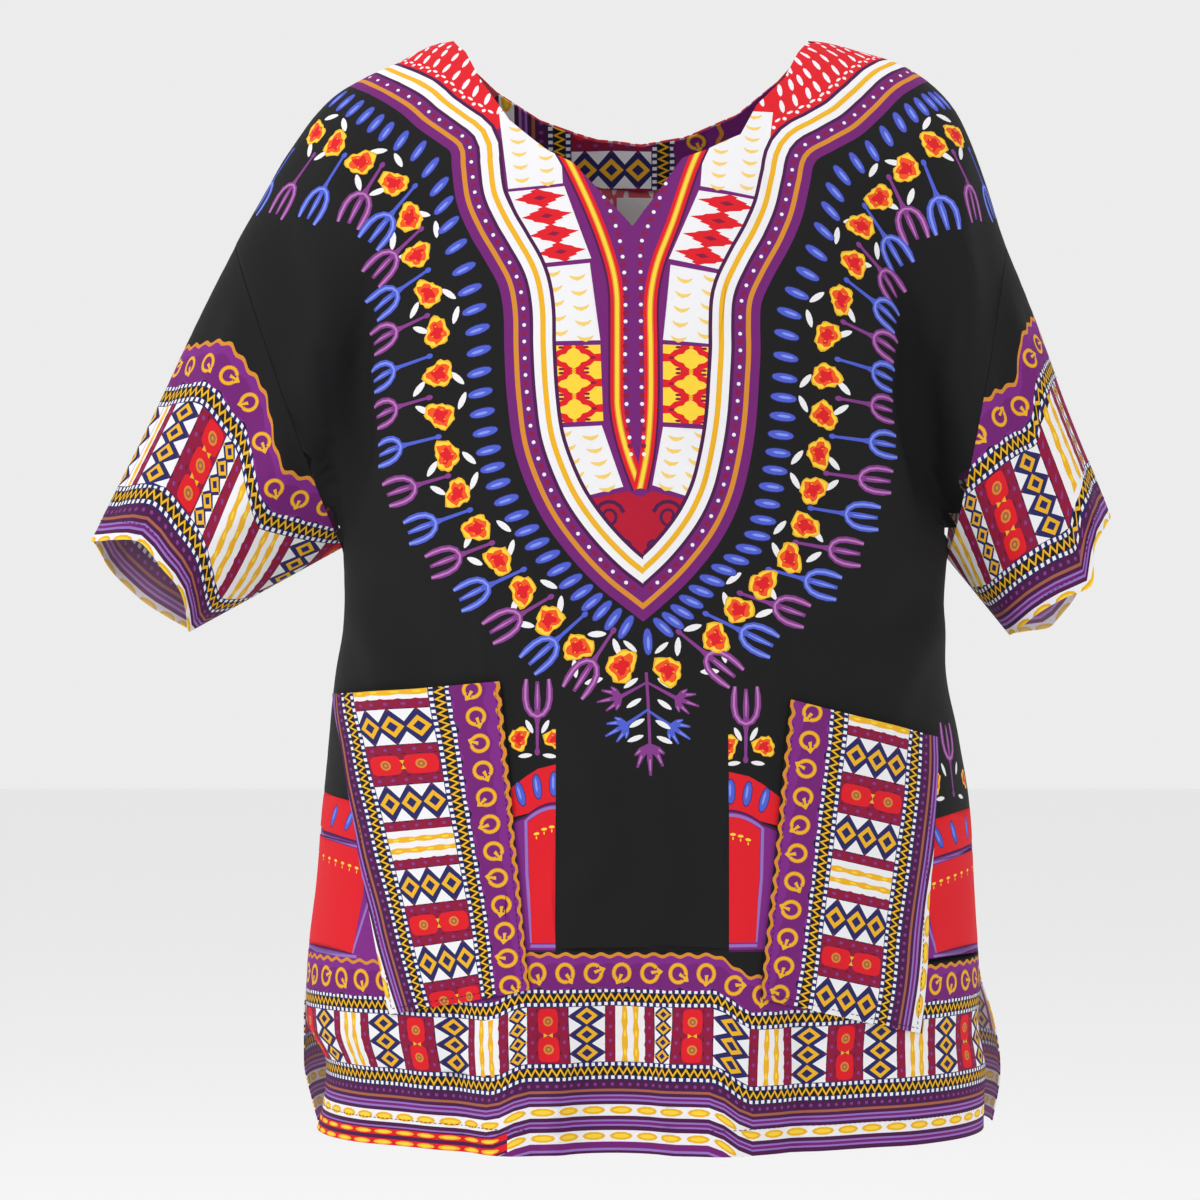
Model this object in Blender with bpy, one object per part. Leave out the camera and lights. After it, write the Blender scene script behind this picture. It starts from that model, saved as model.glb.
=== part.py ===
"""A dashiki shirt: a loose printed cotton shirt, filled out and hollow, with nobody in it.

The shirt hangs from its shoulders. Its front faces -Y, the wearer's left is +X, and the origin lies
midway between the two points where the shoulder seams meet the neck. Tables are in centimetres.
Each piece of cloth is a wall of its own, just clear of the next piece at the seams.
"""
import math

import bpy
import numpy as np
from mathutils import Vector
from mathutils.geometry import delaunay_2d_cdt

CM = 0.01
WALL = 0.14            # cloth wall of the panels and sleeves
POCKET_WALL = 0.12
FACING_WALL = 0.11
LABEL_WALL = 0.10
SEAM_GAP = 0.04        # between pieces at a seam
SLEEVE_GAP = 0.08      # at the sleeve seams, whose walls meet at an angle
LAY_GAP = 0.035        # between a panel and what lies on it
SPACING = 2.5          # of the lattice that a panel is meshed on

SEAM_TOP = -13.9       # height where a sleeve seam starts on the outer edge of the shoulder
HEM = -73.9            # height of the front hem
BACK_HEM = -73.6
SIDES = {"right": -1, "left": 1}      # the wearer's sides, and their sign in X

# Outline of each shoulder from the neck point out to the top of the sleeve seam: reach, height.
SHOULDER = {
    "right": [(12.2, 0.0), (16.9, -2.0), (20.2, -3.7), (21.8, -5.3), (23.5, -7.8), (25.5, -11.2), (27.0, SEAM_TOP)],
    "left": [(12.0, 0.0), (15.4, -0.7), (19.0, -2.0), (21.3, -3.9), (22.7, -6.1), (24.1, -9.8), (25.4, SEAM_TOP)],
}
# Armpit and the two ends of the cuff, as seen from the front: reach, height.
ARMPIT = {"right": (19.7, -34.5), "left": (21.4, -35.2)}
CUFF_TOP = {"right": (36.9, -34.1), "left": (32.6, -32.4)}
CUFF_FOOT = {"right": (30.2, -40.3), "left": (25.7, -40.5)}

# Side seams below the armpits: height, reach of the front edge, reach of the back edge. The edges
# part at the vents near the hem.
SIDE_SEAM = {
    "right": [(-34.5, 19.7, 19.7), (-39.0, 19.6, 19.6), (-43.0, 20.2, 20.2), (-50.0, 20.9, 20.9),
              (-57.0, 21.5, 21.5), (-63.0, 22.1, 22.1), (-66.5, 22.1, 22.4), (-69.5, 20.8, 22.4),
              (-72.0, 21.0, 21.9), (-74.5, 21.6, 21.2)],
    "left": [(-35.2, 21.4, 21.4), (-39.0, 21.2, 21.2), (-43.0, 21.3, 21.3), (-47.0, 22.1, 22.1),
             (-51.5, 22.9, 22.9), (-58.0, 23.3, 23.3), (-63.5, 23.6, 23.7), (-66.5, 23.5, 24.6),
             (-70.0, 24.0, 25.1), (-74.5, 23.9, 24.4)],
}
# The body's sections: height, depth forward, depth backward, half width where the arms leave it.
SECTIONS = [
    (0.0, 5.0, 5.5, 22.2), (-6.0, 7.3, 7.6, 22.0), (-12.0, 9.8, 9.6, 21.6), (-20.0, 12.0, 11.2, 21.0),
    (-28.0, 13.1, 11.6, 20.4), (-35.0, 13.4, 11.4, 20.4), (-43.0, 13.4, 11.0, 20.8),
    (-50.0, 13.5, 11.0, 21.5), (-58.0, 13.8, 11.5, 22.3), (-66.0, 14.2, 12.3, 23.0), (-75.0, 14.6, 13.0, 23.2),
]
SECTION_POWER = 2.2     # 2 would be an ellipse
SHOULDER_ROUND = 9.0    # height over which the cloth rounds over the shoulder
SLEEVE_HEAD = {"front": 6.8, "back": 6.6}      # half depth of a sleeve where it is sewn on
HEAD_BLEND = 9.0        # how far in from the armhole the sleeve's roundness fades
UNION_POWER = 3.0       # how softly body and sleeve head run together

# Largest folds of the body. Each row: face, place across at the top and at the foot, top and foot
# height, half width, and how far it stands out (negative for a trough).
FOLDS = [
    ("front", -8.0, -8.2, -58.0, -75.0, 2.6, 1.3),
    ("front", 6.0, 6.0, -60.0, -75.0, 2.8, 1.2),
    ("front", -0.8, -1.0, -60.0, -75.0, 3.2, -1.2),
    ("front", -16.2, -15.2, -63.0, -75.0, 2.6, -0.7),
    ("front", 14.5, 15.5, -63.0, -75.0, 3.0, -0.6),
    ("front", -18.0, -19.0, -14.0, -34.0, 1.6, -0.9),
    ("front", 18.4, 19.8, -12.0, -34.0, 1.6, -0.8),
    ("back", -9.0, -11.0, -16.0, -75.0, 3.2, 0.9),
    ("back", 8.0, 10.0, -16.0, -75.0, 3.4, 0.9),
    ("back", 0.0, 0.5, -20.0, -75.0, 3.6, -0.8),
    ("back", -18.0, -19.0, -14.0, -34.0, 1.6, -0.8),
    ("back", 18.4, 19.8, -14.0, -34.0, 1.6, -0.8),
]

# A cuff's edge between its two ends: share of the way from top to foot, and how far it juts out
# along the arm (negative is towards the body).
CUFF_EDGE = {
    ("right", "front"): [(0.0, 0.0), (0.15, -1.4), (0.34, -2.6), (0.55, -2.3), (0.78, -1.9), (0.92, -0.9), (1.0, 0.0)],
    ("right", "back"): [(0.0, 0.0), (0.21, 0.9), (0.5, 1.1), (0.8, 0.6), (1.0, 0.0)],
    ("left", "front"): [(0.0, 0.0), (0.24, 0.1), (0.44, 1.7), (0.6, 0.9), (0.8, 0.2), (1.0, 0.0)],
    ("left", "back"): [(0.0, 0.0), (0.25, 0.5), (0.45, 2.0), (0.75, 2.2), (0.9, 1.0), (1.0, 0.0)],
}
CUFF_DEPTH = {"front": 5.0, "back": 5.2}

# Neck edge of the front, as seen from the front: across, height. The V slit runs down to its foot.
FRONT_NECK = [
    (-12.2, 0.0), (-11.3, -0.9), (-10.3, -2.9), (-8.2, -6.0), (-5.6, -8.1), (-3.9, -9.0), (0.0, -13.3),
    (3.3, -8.7), (4.9, -8.1), (7.2, -7.0), (8.3, -4.9), (10.2, -3.0), (11.2, -1.0), (12.0, 0.0),
]
BACK_NECK = [
    (-12.2, 0.0), (-11.4, -1.2), (-9.4, -3.0), (-6.4, -4.8), (-2.4, -6.1), (0.6, -6.4), (3.6, -5.9),
    (7.2, -4.5), (10.0, -2.4), (11.3, -1.0), (12.0, 0.0),
]
FACING_FOOT = [(-10.9, -4.4), (-6.5, -7.8), (-2.2, -9.3), (0.6, -9.6), (3.6, -9.2), (7.6, -7.2), (10.9, -4.0)]
FACING_INSET = 0.35     # clear of the neck edge
LABEL_BOX = (-1.1, 1.5, -10.0, -12.6)      # left, right, top, foot

# Patch pockets as seen from the front: upper outer, upper inner, lower inner, lower outer corner.
POCKETS = {
    "right": [(-20.0, -44.4), (-8.6, -43.2), (-6.7, -63.2), (-16.0, -65.2)],
    "left": [(20.3, -47.2), (10.3, -44.4), (8.3, -63.8), (19.0, -66.6)],
}

COLOURS = {
    "front_panel": (0.012, 0.013, 0.016), "back_panel": (0.012, 0.013, 0.016),
    "sleeve_wearer_right": (0.16, 0.02, 0.18), "sleeve_wearer_left": (0.16, 0.02, 0.18),
    "pocket_wearer_right": (0.50, 0.32, 0.03), "pocket_wearer_left": (0.50, 0.32, 0.03),
    "back_neck_facing": (0.45, 0.08, 0.10), "neck_label": (0.85, 0.85, 0.84),
}


# ---------------------------------------------------------------- curves through table rows

def smooth(at, xs, ys):
    """A smooth curve through the rows (xs rising), read at the given places."""
    xs = np.asarray(xs, float)
    ys = np.asarray(ys, float)
    at = np.clip(at, xs[0], xs[-1])
    slopes = np.diff(ys) / np.diff(xs)
    tangent = np.concatenate([slopes[:1], (slopes[1:] + slopes[:-1]) / 2, slopes[-1:]])
    tangent[1:-1][slopes[1:] * slopes[:-1] <= 0] = 0.0
    i = np.clip(np.searchsorted(xs, at) - 1, 0, len(xs) - 2)
    step = xs[i + 1] - xs[i]
    t = (at - xs[i]) / step
    return ((1 + 2 * t) * (1 - t) ** 2 * ys[i] + t * (1 - t) ** 2 * step * tangent[i]
            + t * t * (3 - 2 * t) * ys[i + 1] + t * t * (t - 1) * step * tangent[i + 1])


def column(rows, key, value):
    """Two columns of a table, in rising order of the first."""
    ordered = sorted(rows, key=lambda row: row[key])
    return [row[key] for row in ordered], [row[value] for row in ordered]


def ramp(at, start, end):
    """0 at the start, 1 at the end, eased at both."""
    t = np.clip((at - start) / (end - start), 0.0, 1.0)
    return t * t * (3 - 2 * t)


# ---------------------------------------------------------------- the form of the body

def upper_outline(side):
    """The outline from the middle of the neck over the shoulder and down the sleeve, finely read."""
    rows = [(-40.0, 0.0), (9.0, 0.0)] + SHOULDER[side] + [CUFF_TOP[side]]
    reach = np.concatenate([[-40.0, 9.0], np.linspace(9.2, CUFF_TOP[side][0], 600)])
    return reach, smooth(reach, *column(rows, 0, 1))


def edge_reach(height, side, face):
    """How far a panel reaches to its side at each height: shoulder, sleeve seam, then side seam."""
    arm_reach, arm_height = ARMPIT[side]
    top_reach = SHOULDER[side][-1][0]
    outline_reach, outline_height = upper_outline(side)
    sloping = outline_reach >= SHOULDER[side][0][0] - 0.05
    shoulder = np.interp(height, outline_height[sloping][::-1], outline_reach[sloping][::-1])
    share = (height - SEAM_TOP) / (arm_height - SEAM_TOP)
    armhole = top_reach + (arm_reach - top_reach) * share
    seam = smooth(height, *column(SIDE_SEAM[side], 0, 1 if face == "front" else 2))
    return np.where(height > SEAM_TOP, shoulder, np.where(height > arm_height, armhole, seam))


def top_line(reach, side):
    """Height and slope of the upper outline: level at the neck, down the shoulder and the sleeve."""
    xs, zs = upper_outline(side)
    slope = (np.interp(reach + 0.8, xs, zs) - np.interp(reach - 0.8, xs, zs)) / 1.6
    return np.interp(reach, xs, zs), slope


def depth(across, height, face):
    """How far the cloth stands from the middle plane, on one face."""
    across = np.asarray(across, float)
    height = np.asarray(height, float)
    front = face == "front"
    reach_depth = smooth(height, *column(SECTIONS, 0, 1 if front else 2))
    result = np.zeros(np.broadcast(across, height).shape)
    for side, sign in SIDES.items():
        reach = across * sign
        mine = reach >= 0
        top, slope = top_line(reach, side)
        below = np.clip(top - height, 0.0, None) / np.sqrt(1 + slope ** 2)
        rounding = 1 - (1 - np.clip(below / SHOULDER_ROUND, 0, 1)) ** 2
        root = smooth(height, *column(SECTIONS, 0, 3))
        arm_reach, arm_height = ARMPIT[side]
        lower = edge_reach(height, side, face)
        joined = ramp(height, arm_height, arm_height + 6.0)
        half_width = np.where(height > arm_height, arm_reach * (1 - joined) + root * joined, lower)
        share = np.clip(reach / half_width, 0, 1)
        body = reach_depth * (1 - share ** SECTION_POWER) ** (1 / SECTION_POWER) * np.sqrt(rounding)
        foot_reach, foot_height = CUFF_FOOT[side]
        run = math.hypot(foot_reach - arm_reach, foot_height - arm_height)
        rise_x = -(foot_height - arm_height) / run
        rise_z = (foot_reach - arm_reach) / run
        above = (reach - arm_reach) * rise_x + (height - arm_height) * rise_z
        between = np.clip(below, 0, None) / np.clip(below + np.clip(above, 0, None), 1e-6, None)
        head = SLEEVE_HEAD[face] * 2 * np.sqrt(np.clip(between * (1 - between), 0, None))
        head = head * np.where(above > 0, 1.0, 0.0) * ramp(reach, arm_reach - HEAD_BLEND, arm_reach + 1.0)
        whole = (body ** UNION_POWER + head ** UNION_POWER) ** (1 / UNION_POWER)
        result = np.where(mine, whole, result)
    for fold_face, top_x, foot_x, top_z, foot_z, half, out in FOLDS:
        if fold_face == face:
            share = np.clip((top_z - height) / (top_z - foot_z), 0, 1)
            centre = top_x + (foot_x - top_x) * share
            closing = ramp(height, foot_z, foot_z + 8.0) if foot_z > -60 else 1.0
            shape = np.exp(-((across - centre) / half) ** 2)
            result = result + out * shape * ramp(share, 0.0, 0.5) * closing * np.clip(result / 6.0, 0, 1)
    return result


def body_point(turn, height, face):
    """A point of a body panel. turn runs -1 to 1 from side to side, evenly round the curve."""
    turn = np.asarray(turn, float)
    height = np.asarray(height, float)
    share = np.sin(np.pi / 2 * turn)
    right = edge_reach(height, "right", face)
    left = edge_reach(height, "left", face)
    across = share * np.where(turn < 0, right, left)
    out = depth(across, height, face) + SEAM_GAP / 2
    return np.stack([across, -out if face == "front" else out, height], axis=-1)


def turn_of(across, height, face):
    """The turn at which a panel reaches a place as seen from the front."""
    side = "right" if across < 0 else "left"
    reach = float(edge_reach(np.array(height), side, face))
    return math.asin(max(-1.0, min(1.0, across / reach))) * 2 / math.pi


# ---------------------------------------------------------------- cutting flat pieces

PLAN = 24.0     # width given to one unit of turn while a panel is meshed


def seen_line(points, face, step):
    """A line of places seen from the front, as plan points no further apart than the step."""
    plan = []
    for (x0, z0), (x1, z1) in zip(points, points[1:]):
        count = max(1, math.ceil(math.hypot(x1 - x0, z1 - z0) / step))
        for k in range(count):
            x = x0 + (x1 - x0) * k / count
            z = z0 + (z1 - z0) * k / count
            plan.append((turn_of(x, z, face) * PLAN, z))
    x, z = points[-1]
    plan.append((turn_of(x, z, face) * PLAN, z))
    return plan


def armhole_heights(side):
    """Heights of the sleeve seam's points, closer together at its two ends."""
    foot = ARMPIT[side][1]
    return [SEAM_TOP + (foot - SEAM_TOP) * (1 - math.cos(math.pi * k / 12)) / 2 for k in range(13)]


def side_heights(side, hem):
    """Heights of a panel's edge from the neck point down to the hem."""
    shoulder = [SEAM_TOP * (k / 8) ** 1.3 for k in range(1, 8)]
    foot = ARMPIT[side][1]
    count = round((foot - hem) / SPACING)
    seam = [foot + (hem - foot) * k / count for k in range(1, count)]
    return shoulder + armhole_heights(side) + seam


def panel_outline(face, neck, hem):
    """The panel's outline in plan, from the left neck point round the hem to the right one."""
    left = [(PLAN, z) for z in side_heights("left", hem)]
    right = [(-PLAN, z) for z in side_heights("right", hem)]
    count = round(2 * PLAN / SPACING)
    foot = [(PLAN - 2 * PLAN * k / count, hem) for k in range(count + 1)]
    neckline = seen_line(neck, face, SPACING * 0.8)
    return neckline + left + foot + right[::-1]


def inside(point, outline):
    """Whether a plan point lies within an outline."""
    x, y = point
    odd = False
    for (x0, y0), (x1, y1) in zip(outline, outline[1:] + outline[:1]):
        if (y0 > y) != (y1 > y) and x < x0 + (y - y0) / (y1 - y0) * (x1 - x0):
            odd = not odd
    return odd


def counterclockwise(loop):
    """The same outline, turning to the left."""
    area = sum(x0 * y1 - x1 * y0 for (x0, y0), (x1, y1) in zip(loop, loop[1:] + loop[:1]))
    return loop if area > 0 else loop[::-1]


def cut_cloth(outline, inlays):
    """Meshes an outline, keeping the outlines of inlays: plan points, triangles, triangles per inlay."""
    kept = [counterclockwise(loop) for loop in [outline] + inlays]
    points = []
    faces = []
    for loop in kept:
        faces.append(list(range(len(points), len(points) + len(loop))))
        points += loop
    fixed = np.array(points)
    xs = np.arange(-PLAN, PLAN + 0.1, SPACING)
    for row, z in enumerate(np.arange(-75.0, 0.5, SPACING * 0.866)):
        for x in xs + (row % 2) * SPACING / 2:
            clear = np.hypot(fixed[:, 0] - x, fixed[:, 1] - z).min() > SPACING * 0.55
            if clear and inside((x, z), outline):
                points.append((x, z))
    cut = delaunay_2d_cdt([Vector(p) for p in points], [], faces, 1, 1e-6, True)
    plan = np.array([tuple(p) for p in cut[0]])
    triangles = []
    parts = [[] for _ in inlays]
    for corners, owners in zip(cut[2], cut[5]):
        if 0 in owners:
            triangles.append(tuple(corners))
            for k in range(len(inlays)):
                if k + 1 in owners:
                    parts[k].append(tuple(corners))
    return plan, triangles, parts


# ---------------------------------------------------------------- walls of cloth

def normals_of(points, triangles):
    """Outward normal at each point, from the triangles round it."""
    tri = np.array(triangles)
    a, b, c = points[tri[:, 0]], points[tri[:, 1]], points[tri[:, 2]]
    face = np.cross(b - a, c - a)
    total = np.zeros_like(points)
    for k in range(3):
        np.add.at(total, tri[:, k], face)
    length = np.linalg.norm(total, axis=1, keepdims=True)
    return total / np.where(length > 1e-12, length, 1.0)


def rim_edges(triangles):
    """Edges with a triangle on one side only, each in its triangle's direction."""
    seen = set()
    for a, b, c in triangles:
        seen.update(((a, b), (b, c), (c, a)))
    return [edge for edge in seen if (edge[1], edge[0]) not in seen]


def wall(name, outer, inner, triangles):
    """One closed piece of cloth between an outer and an inner sheet of the same triangles."""
    used = sorted({corner for triangle in triangles for corner in triangle})
    place = {corner: k for k, corner in enumerate(used)}
    count = len(used)
    vertices = np.concatenate([outer[used], inner[used]]) * CM
    faces = [tuple(place[c] for c in triangle) for triangle in triangles]
    faces += [tuple(place[c] + count for c in reversed(triangle)) for triangle in triangles]
    for a, b in sorted(rim_edges(triangles)):
        faces.append((place[b], place[a], place[a] + count, place[b] + count))
    mesh = bpy.data.meshes.new(name)
    mesh.from_pydata([tuple(v) for v in vertices], [], faces)
    mesh.validate()
    item = bpy.data.objects.new(name, mesh)
    bpy.context.scene.collection.objects.link(item)
    material = bpy.data.materials.new(name + "_cloth")
    material.use_nodes = True
    shader = material.node_tree.nodes["Principled BSDF"]
    shader.inputs["Base Color"].default_value = (*COLOURS[name], 1.0)
    shader.inputs["Roughness"].default_value = 0.85
    shader.inputs["Metallic"].default_value = 0.0
    mesh.materials.append(material)
    return item


def body_side_of_plane(points, face):
    """Keeps a sheet on its own side of the middle plane, so that front and back never meet."""
    sign = -1 if face == "front" else 1
    held = points.copy()
    held[:, 1] = sign * np.maximum(sign * held[:, 1], SEAM_GAP / 2)
    return held


def square_to_arm(normals, side):
    """Normals without their share along the arm, so that walls meeting at a sleeve seam stay clear."""
    arm_reach, arm_height = ARMPIT[side]
    middle = (np.array(CUFF_TOP[side]) + np.array(CUFF_FOOT[side])) / 2
    run = middle - np.array([(arm_reach + SHOULDER[side][-1][0]) / 2, (arm_height + SEAM_TOP) / 2])
    arm = np.array([SIDES[side] * run[0], 0.0, run[1]]) / np.linalg.norm(run)
    flat = normals - np.outer(normals @ arm, arm)
    return flat / np.linalg.norm(flat, axis=1, keepdims=True)


def panel_sheets(face, neck, hem, inlays):
    """A panel's plan triangles with its outer points and normals."""
    plan, triangles, parts = cut_cloth(panel_outline(face, neck, hem), inlays)
    points = body_point(plan[:, 0] / PLAN, plan[:, 1], face)
    if face == "back":
        triangles = [(a, c, b) for a, b, c in triangles]
        parts = [[(a, c, b) for a, b, c in part] for part in parts]
    normals = normals_of(points, triangles)
    for side, sign in SIDES.items():
        edge = sign * plan[:, 0] > PLAN - 0.01
        seam = edge & (plan[:, 1] < SEAM_TOP + 0.01) & (plan[:, 1] > ARMPIT[side][1] - 0.01)
        normals[seam] = square_to_arm(normals[seam], side)
    return points, normals, triangles, parts


def closed(points, face, step):
    """A closed line of seen places, without its repeated last point."""
    return seen_line(points + points[:1], face, step)[:-1]


def build_front():
    """Front panel, and the two patch pockets on its own points."""
    inlays = [closed(POCKETS[side], "front", SPACING) for side in SIDES]
    outer, normals, triangles, parts = panel_sheets("front", FRONT_NECK, HEM, inlays)
    inner = body_side_of_plane(outer - normals * WALL, "front")
    wall("front_panel", outer, inner, triangles)
    for side, part in zip(SIDES, parts):
        under = outer + normals * LAY_GAP
        wall("pocket_wearer_" + side, under + normals * POCKET_WALL, under, part)


def build_back():
    """Back panel, and on its inner side the neck facing and the label."""
    ends = [(x * 0.965, z - FACING_INSET) for x, z in BACK_NECK[2:-2]]
    facing = closed(ends + FACING_FOOT[::-1], "back", SPACING * 0.8)
    west, east, top, foot = LABEL_BOX
    label = closed([(west, top), (east, top), (east, foot), (west, foot)], "back", SPACING * 0.5)
    outer, normals, triangles, parts = panel_sheets("back", BACK_NECK, BACK_HEM, [facing, label])
    inner = body_side_of_plane(outer - normals * WALL, "back")
    wall("back_panel", outer, inner, triangles)
    laid = outer - normals * (WALL + LAY_GAP)
    wall("back_neck_facing", laid, laid - normals * FACING_WALL, parts[0])
    wall("neck_label", laid, laid - normals * LABEL_WALL, parts[1])


# ---------------------------------------------------------------- sleeves

def armhole_ring(side):
    """The sleeve seam as a closed ring: down the front from the top, and up the back."""
    sign = SIDES[side]
    heights = np.array(armhole_heights(side))
    front = body_point(np.full(len(heights), sign), heights, "front")
    back = body_point(np.full(len(heights), sign), heights, "back")
    front[[0, -1], 1] = 0.0
    return np.concatenate([front, back[-2:0:-1]])


def cuff_ring(side, count):
    """The cuff's edge as a closed ring that starts at the top, like the sleeve seam."""
    sign = SIDES[side]
    top = np.array(CUFF_TOP[side])
    foot = np.array(CUFF_FOOT[side])
    chord = foot - top
    along = np.array([-chord[1], chord[0]]) / np.linalg.norm(chord)
    ring = []
    for k in range(count):
        angle = 2 * math.pi * k / count
        face = "front" if k <= count // 2 else "back"
        share = (1 - math.cos(angle)) / 2
        jut = float(smooth(np.array(share), *column(CUFF_EDGE[side, face], 0, 1)))
        reach, height = top + chord * share + along * jut
        ring.append((sign * reach, -CUFF_DEPTH[face] * math.sin(angle), height))
    return np.array(ring)


def build_sleeve(side):
    """A tapered tube from the sleeve seam to the cuff, open at both ends."""
    start = armhole_ring(side)
    end = cuff_ring(side, len(start))
    rows = 9
    run = np.linalg.norm(end - start, axis=1, keepdims=True)
    gap = SLEEVE_GAP / run
    rings = [start + (end - start) * (gap + (1 - gap) * k / (rows - 1)) for k in range(rows)]
    points = np.concatenate(rings)
    count = len(start)
    triangles = []
    for row in range(rows - 1):
        for k in range(count):
            a = row * count + k
            b = row * count + (k + 1) % count
            c = a + count
            d = b + count
            pair = [(a, b, d), (a, d, c)]
            triangles += pair if side == "left" else [(p, r, q) for p, q, r in pair]
    normals = normals_of(points, triangles)
    normals[:count] = square_to_arm(normals[:count], side)
    wall("sleeve_wearer_" + side, points, points - normals * WALL, triangles)


for stray in list(bpy.data.objects):
    bpy.data.objects.remove(stray, do_unlink=True)
build_front()
build_back()
for each_side in SIDES:
    build_sleeve(each_side)
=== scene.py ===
"""The looks of a dashiki shirt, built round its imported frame.

The shirt hangs from its shoulders, front towards -Y, wearer's left towards +X, with the origin midway
between the two neck points. Tables are in centimetres. The form is the frame's own; every piece of
cloth is cut flat, printed with shapes drawn on the flat cloth, and laid on that form.
"""
import math

import bpy
import numpy as np
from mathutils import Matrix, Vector
from mathutils.bvhtree import BVHTree
from mathutils.geometry import delaunay_2d_cdt


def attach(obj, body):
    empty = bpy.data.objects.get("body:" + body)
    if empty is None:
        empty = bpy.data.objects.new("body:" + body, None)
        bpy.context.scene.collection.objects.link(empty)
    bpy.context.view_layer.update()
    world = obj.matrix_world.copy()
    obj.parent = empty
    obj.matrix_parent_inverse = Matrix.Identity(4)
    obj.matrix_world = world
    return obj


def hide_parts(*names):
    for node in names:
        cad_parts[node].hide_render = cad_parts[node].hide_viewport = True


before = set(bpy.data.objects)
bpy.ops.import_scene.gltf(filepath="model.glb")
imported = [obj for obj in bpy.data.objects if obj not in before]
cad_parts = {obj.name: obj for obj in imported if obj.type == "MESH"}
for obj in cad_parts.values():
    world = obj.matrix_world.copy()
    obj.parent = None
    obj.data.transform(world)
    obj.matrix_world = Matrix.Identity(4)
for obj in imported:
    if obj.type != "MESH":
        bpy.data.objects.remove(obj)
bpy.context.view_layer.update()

CM = 0.01
CLOTH = 0.09           # thickness of the shown cloth
LAY_GAP = 0.03         # between a panel and what lies on it
SEAM_GAP = 0.04

# ---------------------------------------------------------------- sizes of the form

SEAM_TOP = -13.9       # height where a sleeve seam starts on the outer edge of the shoulder
HEM = -73.9            # height of the front hem
BACK_HEM = -73.6
SIDES = {"right": -1, "left": 1}      # the wearer's sides, and their sign in X

# Outline of each shoulder from the neck point out to the top of the sleeve seam: reach, height.
SHOULDER = {
    "right": [(12.2, 0.0), (16.9, -2.0), (20.2, -3.7), (21.8, -5.3), (23.5, -7.8), (25.5, -11.2),
              (27.0, SEAM_TOP)],
    "left": [(12.0, 0.0), (15.4, -0.7), (19.0, -2.0), (21.3, -3.9), (22.7, -6.1), (24.1, -9.8),
             (25.4, SEAM_TOP)],
}
# Armpit and the two ends of the cuff, as seen from the front: reach, height.
ARMPIT = {"right": (19.7, -34.5), "left": (21.4, -35.2)}
CUFF_TOP = {"right": (36.9, -34.1), "left": (32.6, -32.4)}
CUFF_FOOT = {"right": (30.2, -40.3), "left": (25.7, -40.5)}

# Side seams below the armpits: height, reach of the front edge, reach of the back edge.
SIDE_SEAM = {
    "right": [(-34.5, 19.7, 19.7), (-39.0, 19.6, 19.6), (-43.0, 20.2, 20.2), (-50.0, 20.9, 20.9),
              (-57.0, 21.5, 21.5), (-63.0, 22.1, 22.1), (-66.5, 22.1, 22.4), (-69.5, 20.8, 22.4),
              (-72.0, 21.0, 21.9), (-74.5, 21.6, 21.2)],
    "left": [(-35.2, 21.4, 21.4), (-39.0, 21.2, 21.2), (-43.0, 21.3, 21.3), (-47.0, 22.1, 22.1),
             (-51.5, 22.9, 22.9), (-58.0, 23.3, 23.3), (-63.5, 23.6, 23.7), (-66.5, 23.5, 24.6),
             (-70.0, 24.0, 25.1), (-74.5, 23.9, 24.4)],
}
# The body's sections: height, depth forward, depth backward, half width where the arms leave it.
SECTIONS = [
    (0.0, 5.0, 5.5, 22.2), (-6.0, 7.3, 7.6, 22.0), (-12.0, 9.8, 9.6, 21.6), (-20.0, 12.0, 11.2, 21.0),
    (-28.0, 13.1, 11.6, 20.4), (-35.0, 13.4, 11.4, 20.4), (-43.0, 13.4, 11.0, 20.8),
    (-50.0, 13.5, 11.0, 21.5), (-58.0, 13.8, 11.5, 22.3), (-66.0, 14.2, 12.3, 23.0), (-75.0, 14.6, 13.0,
                                                                                      23.2),
]
SECTION_POWER = 2.2
SHOULDER_ROUND = 9.0
SLEEVE_HEAD = {"front": 6.8, "back": 6.6}
HEAD_BLEND = 9.0
UNION_POWER = 3.0

# Largest folds of the body: face, place across at the top and at the foot, top and foot height,
# half width, and how far it stands out (negative for a trough).
FOLDS = [
    ("front", -8.0, -8.2, -58.0, -75.0, 2.6, 1.3),
    ("front", 6.0, 6.0, -60.0, -75.0, 2.8, 1.2),
    ("front", -0.8, -1.0, -60.0, -75.0, 3.2, -1.2),
    ("front", -16.2, -15.2, -63.0, -75.0, 2.6, -0.7),
    ("front", 14.5, 15.5, -63.0, -75.0, 3.0, -0.6),
    ("front", -18.0, -19.0, -14.0, -34.0, 1.6, -0.9),
    ("front", 18.4, 19.8, -12.0, -34.0, 1.6, -0.8),
    ("back", -9.0, -11.0, -16.0, -75.0, 3.2, 0.9),
    ("back", 8.0, 10.0, -16.0, -75.0, 3.4, 0.9),
    ("back", 0.0, 0.5, -20.0, -75.0, 3.6, -0.8),
    ("back", -18.0, -19.0, -14.0, -34.0, 1.6, -0.8),
    ("back", 18.4, 19.8, -14.0, -34.0, 1.6, -0.8),
]
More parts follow.
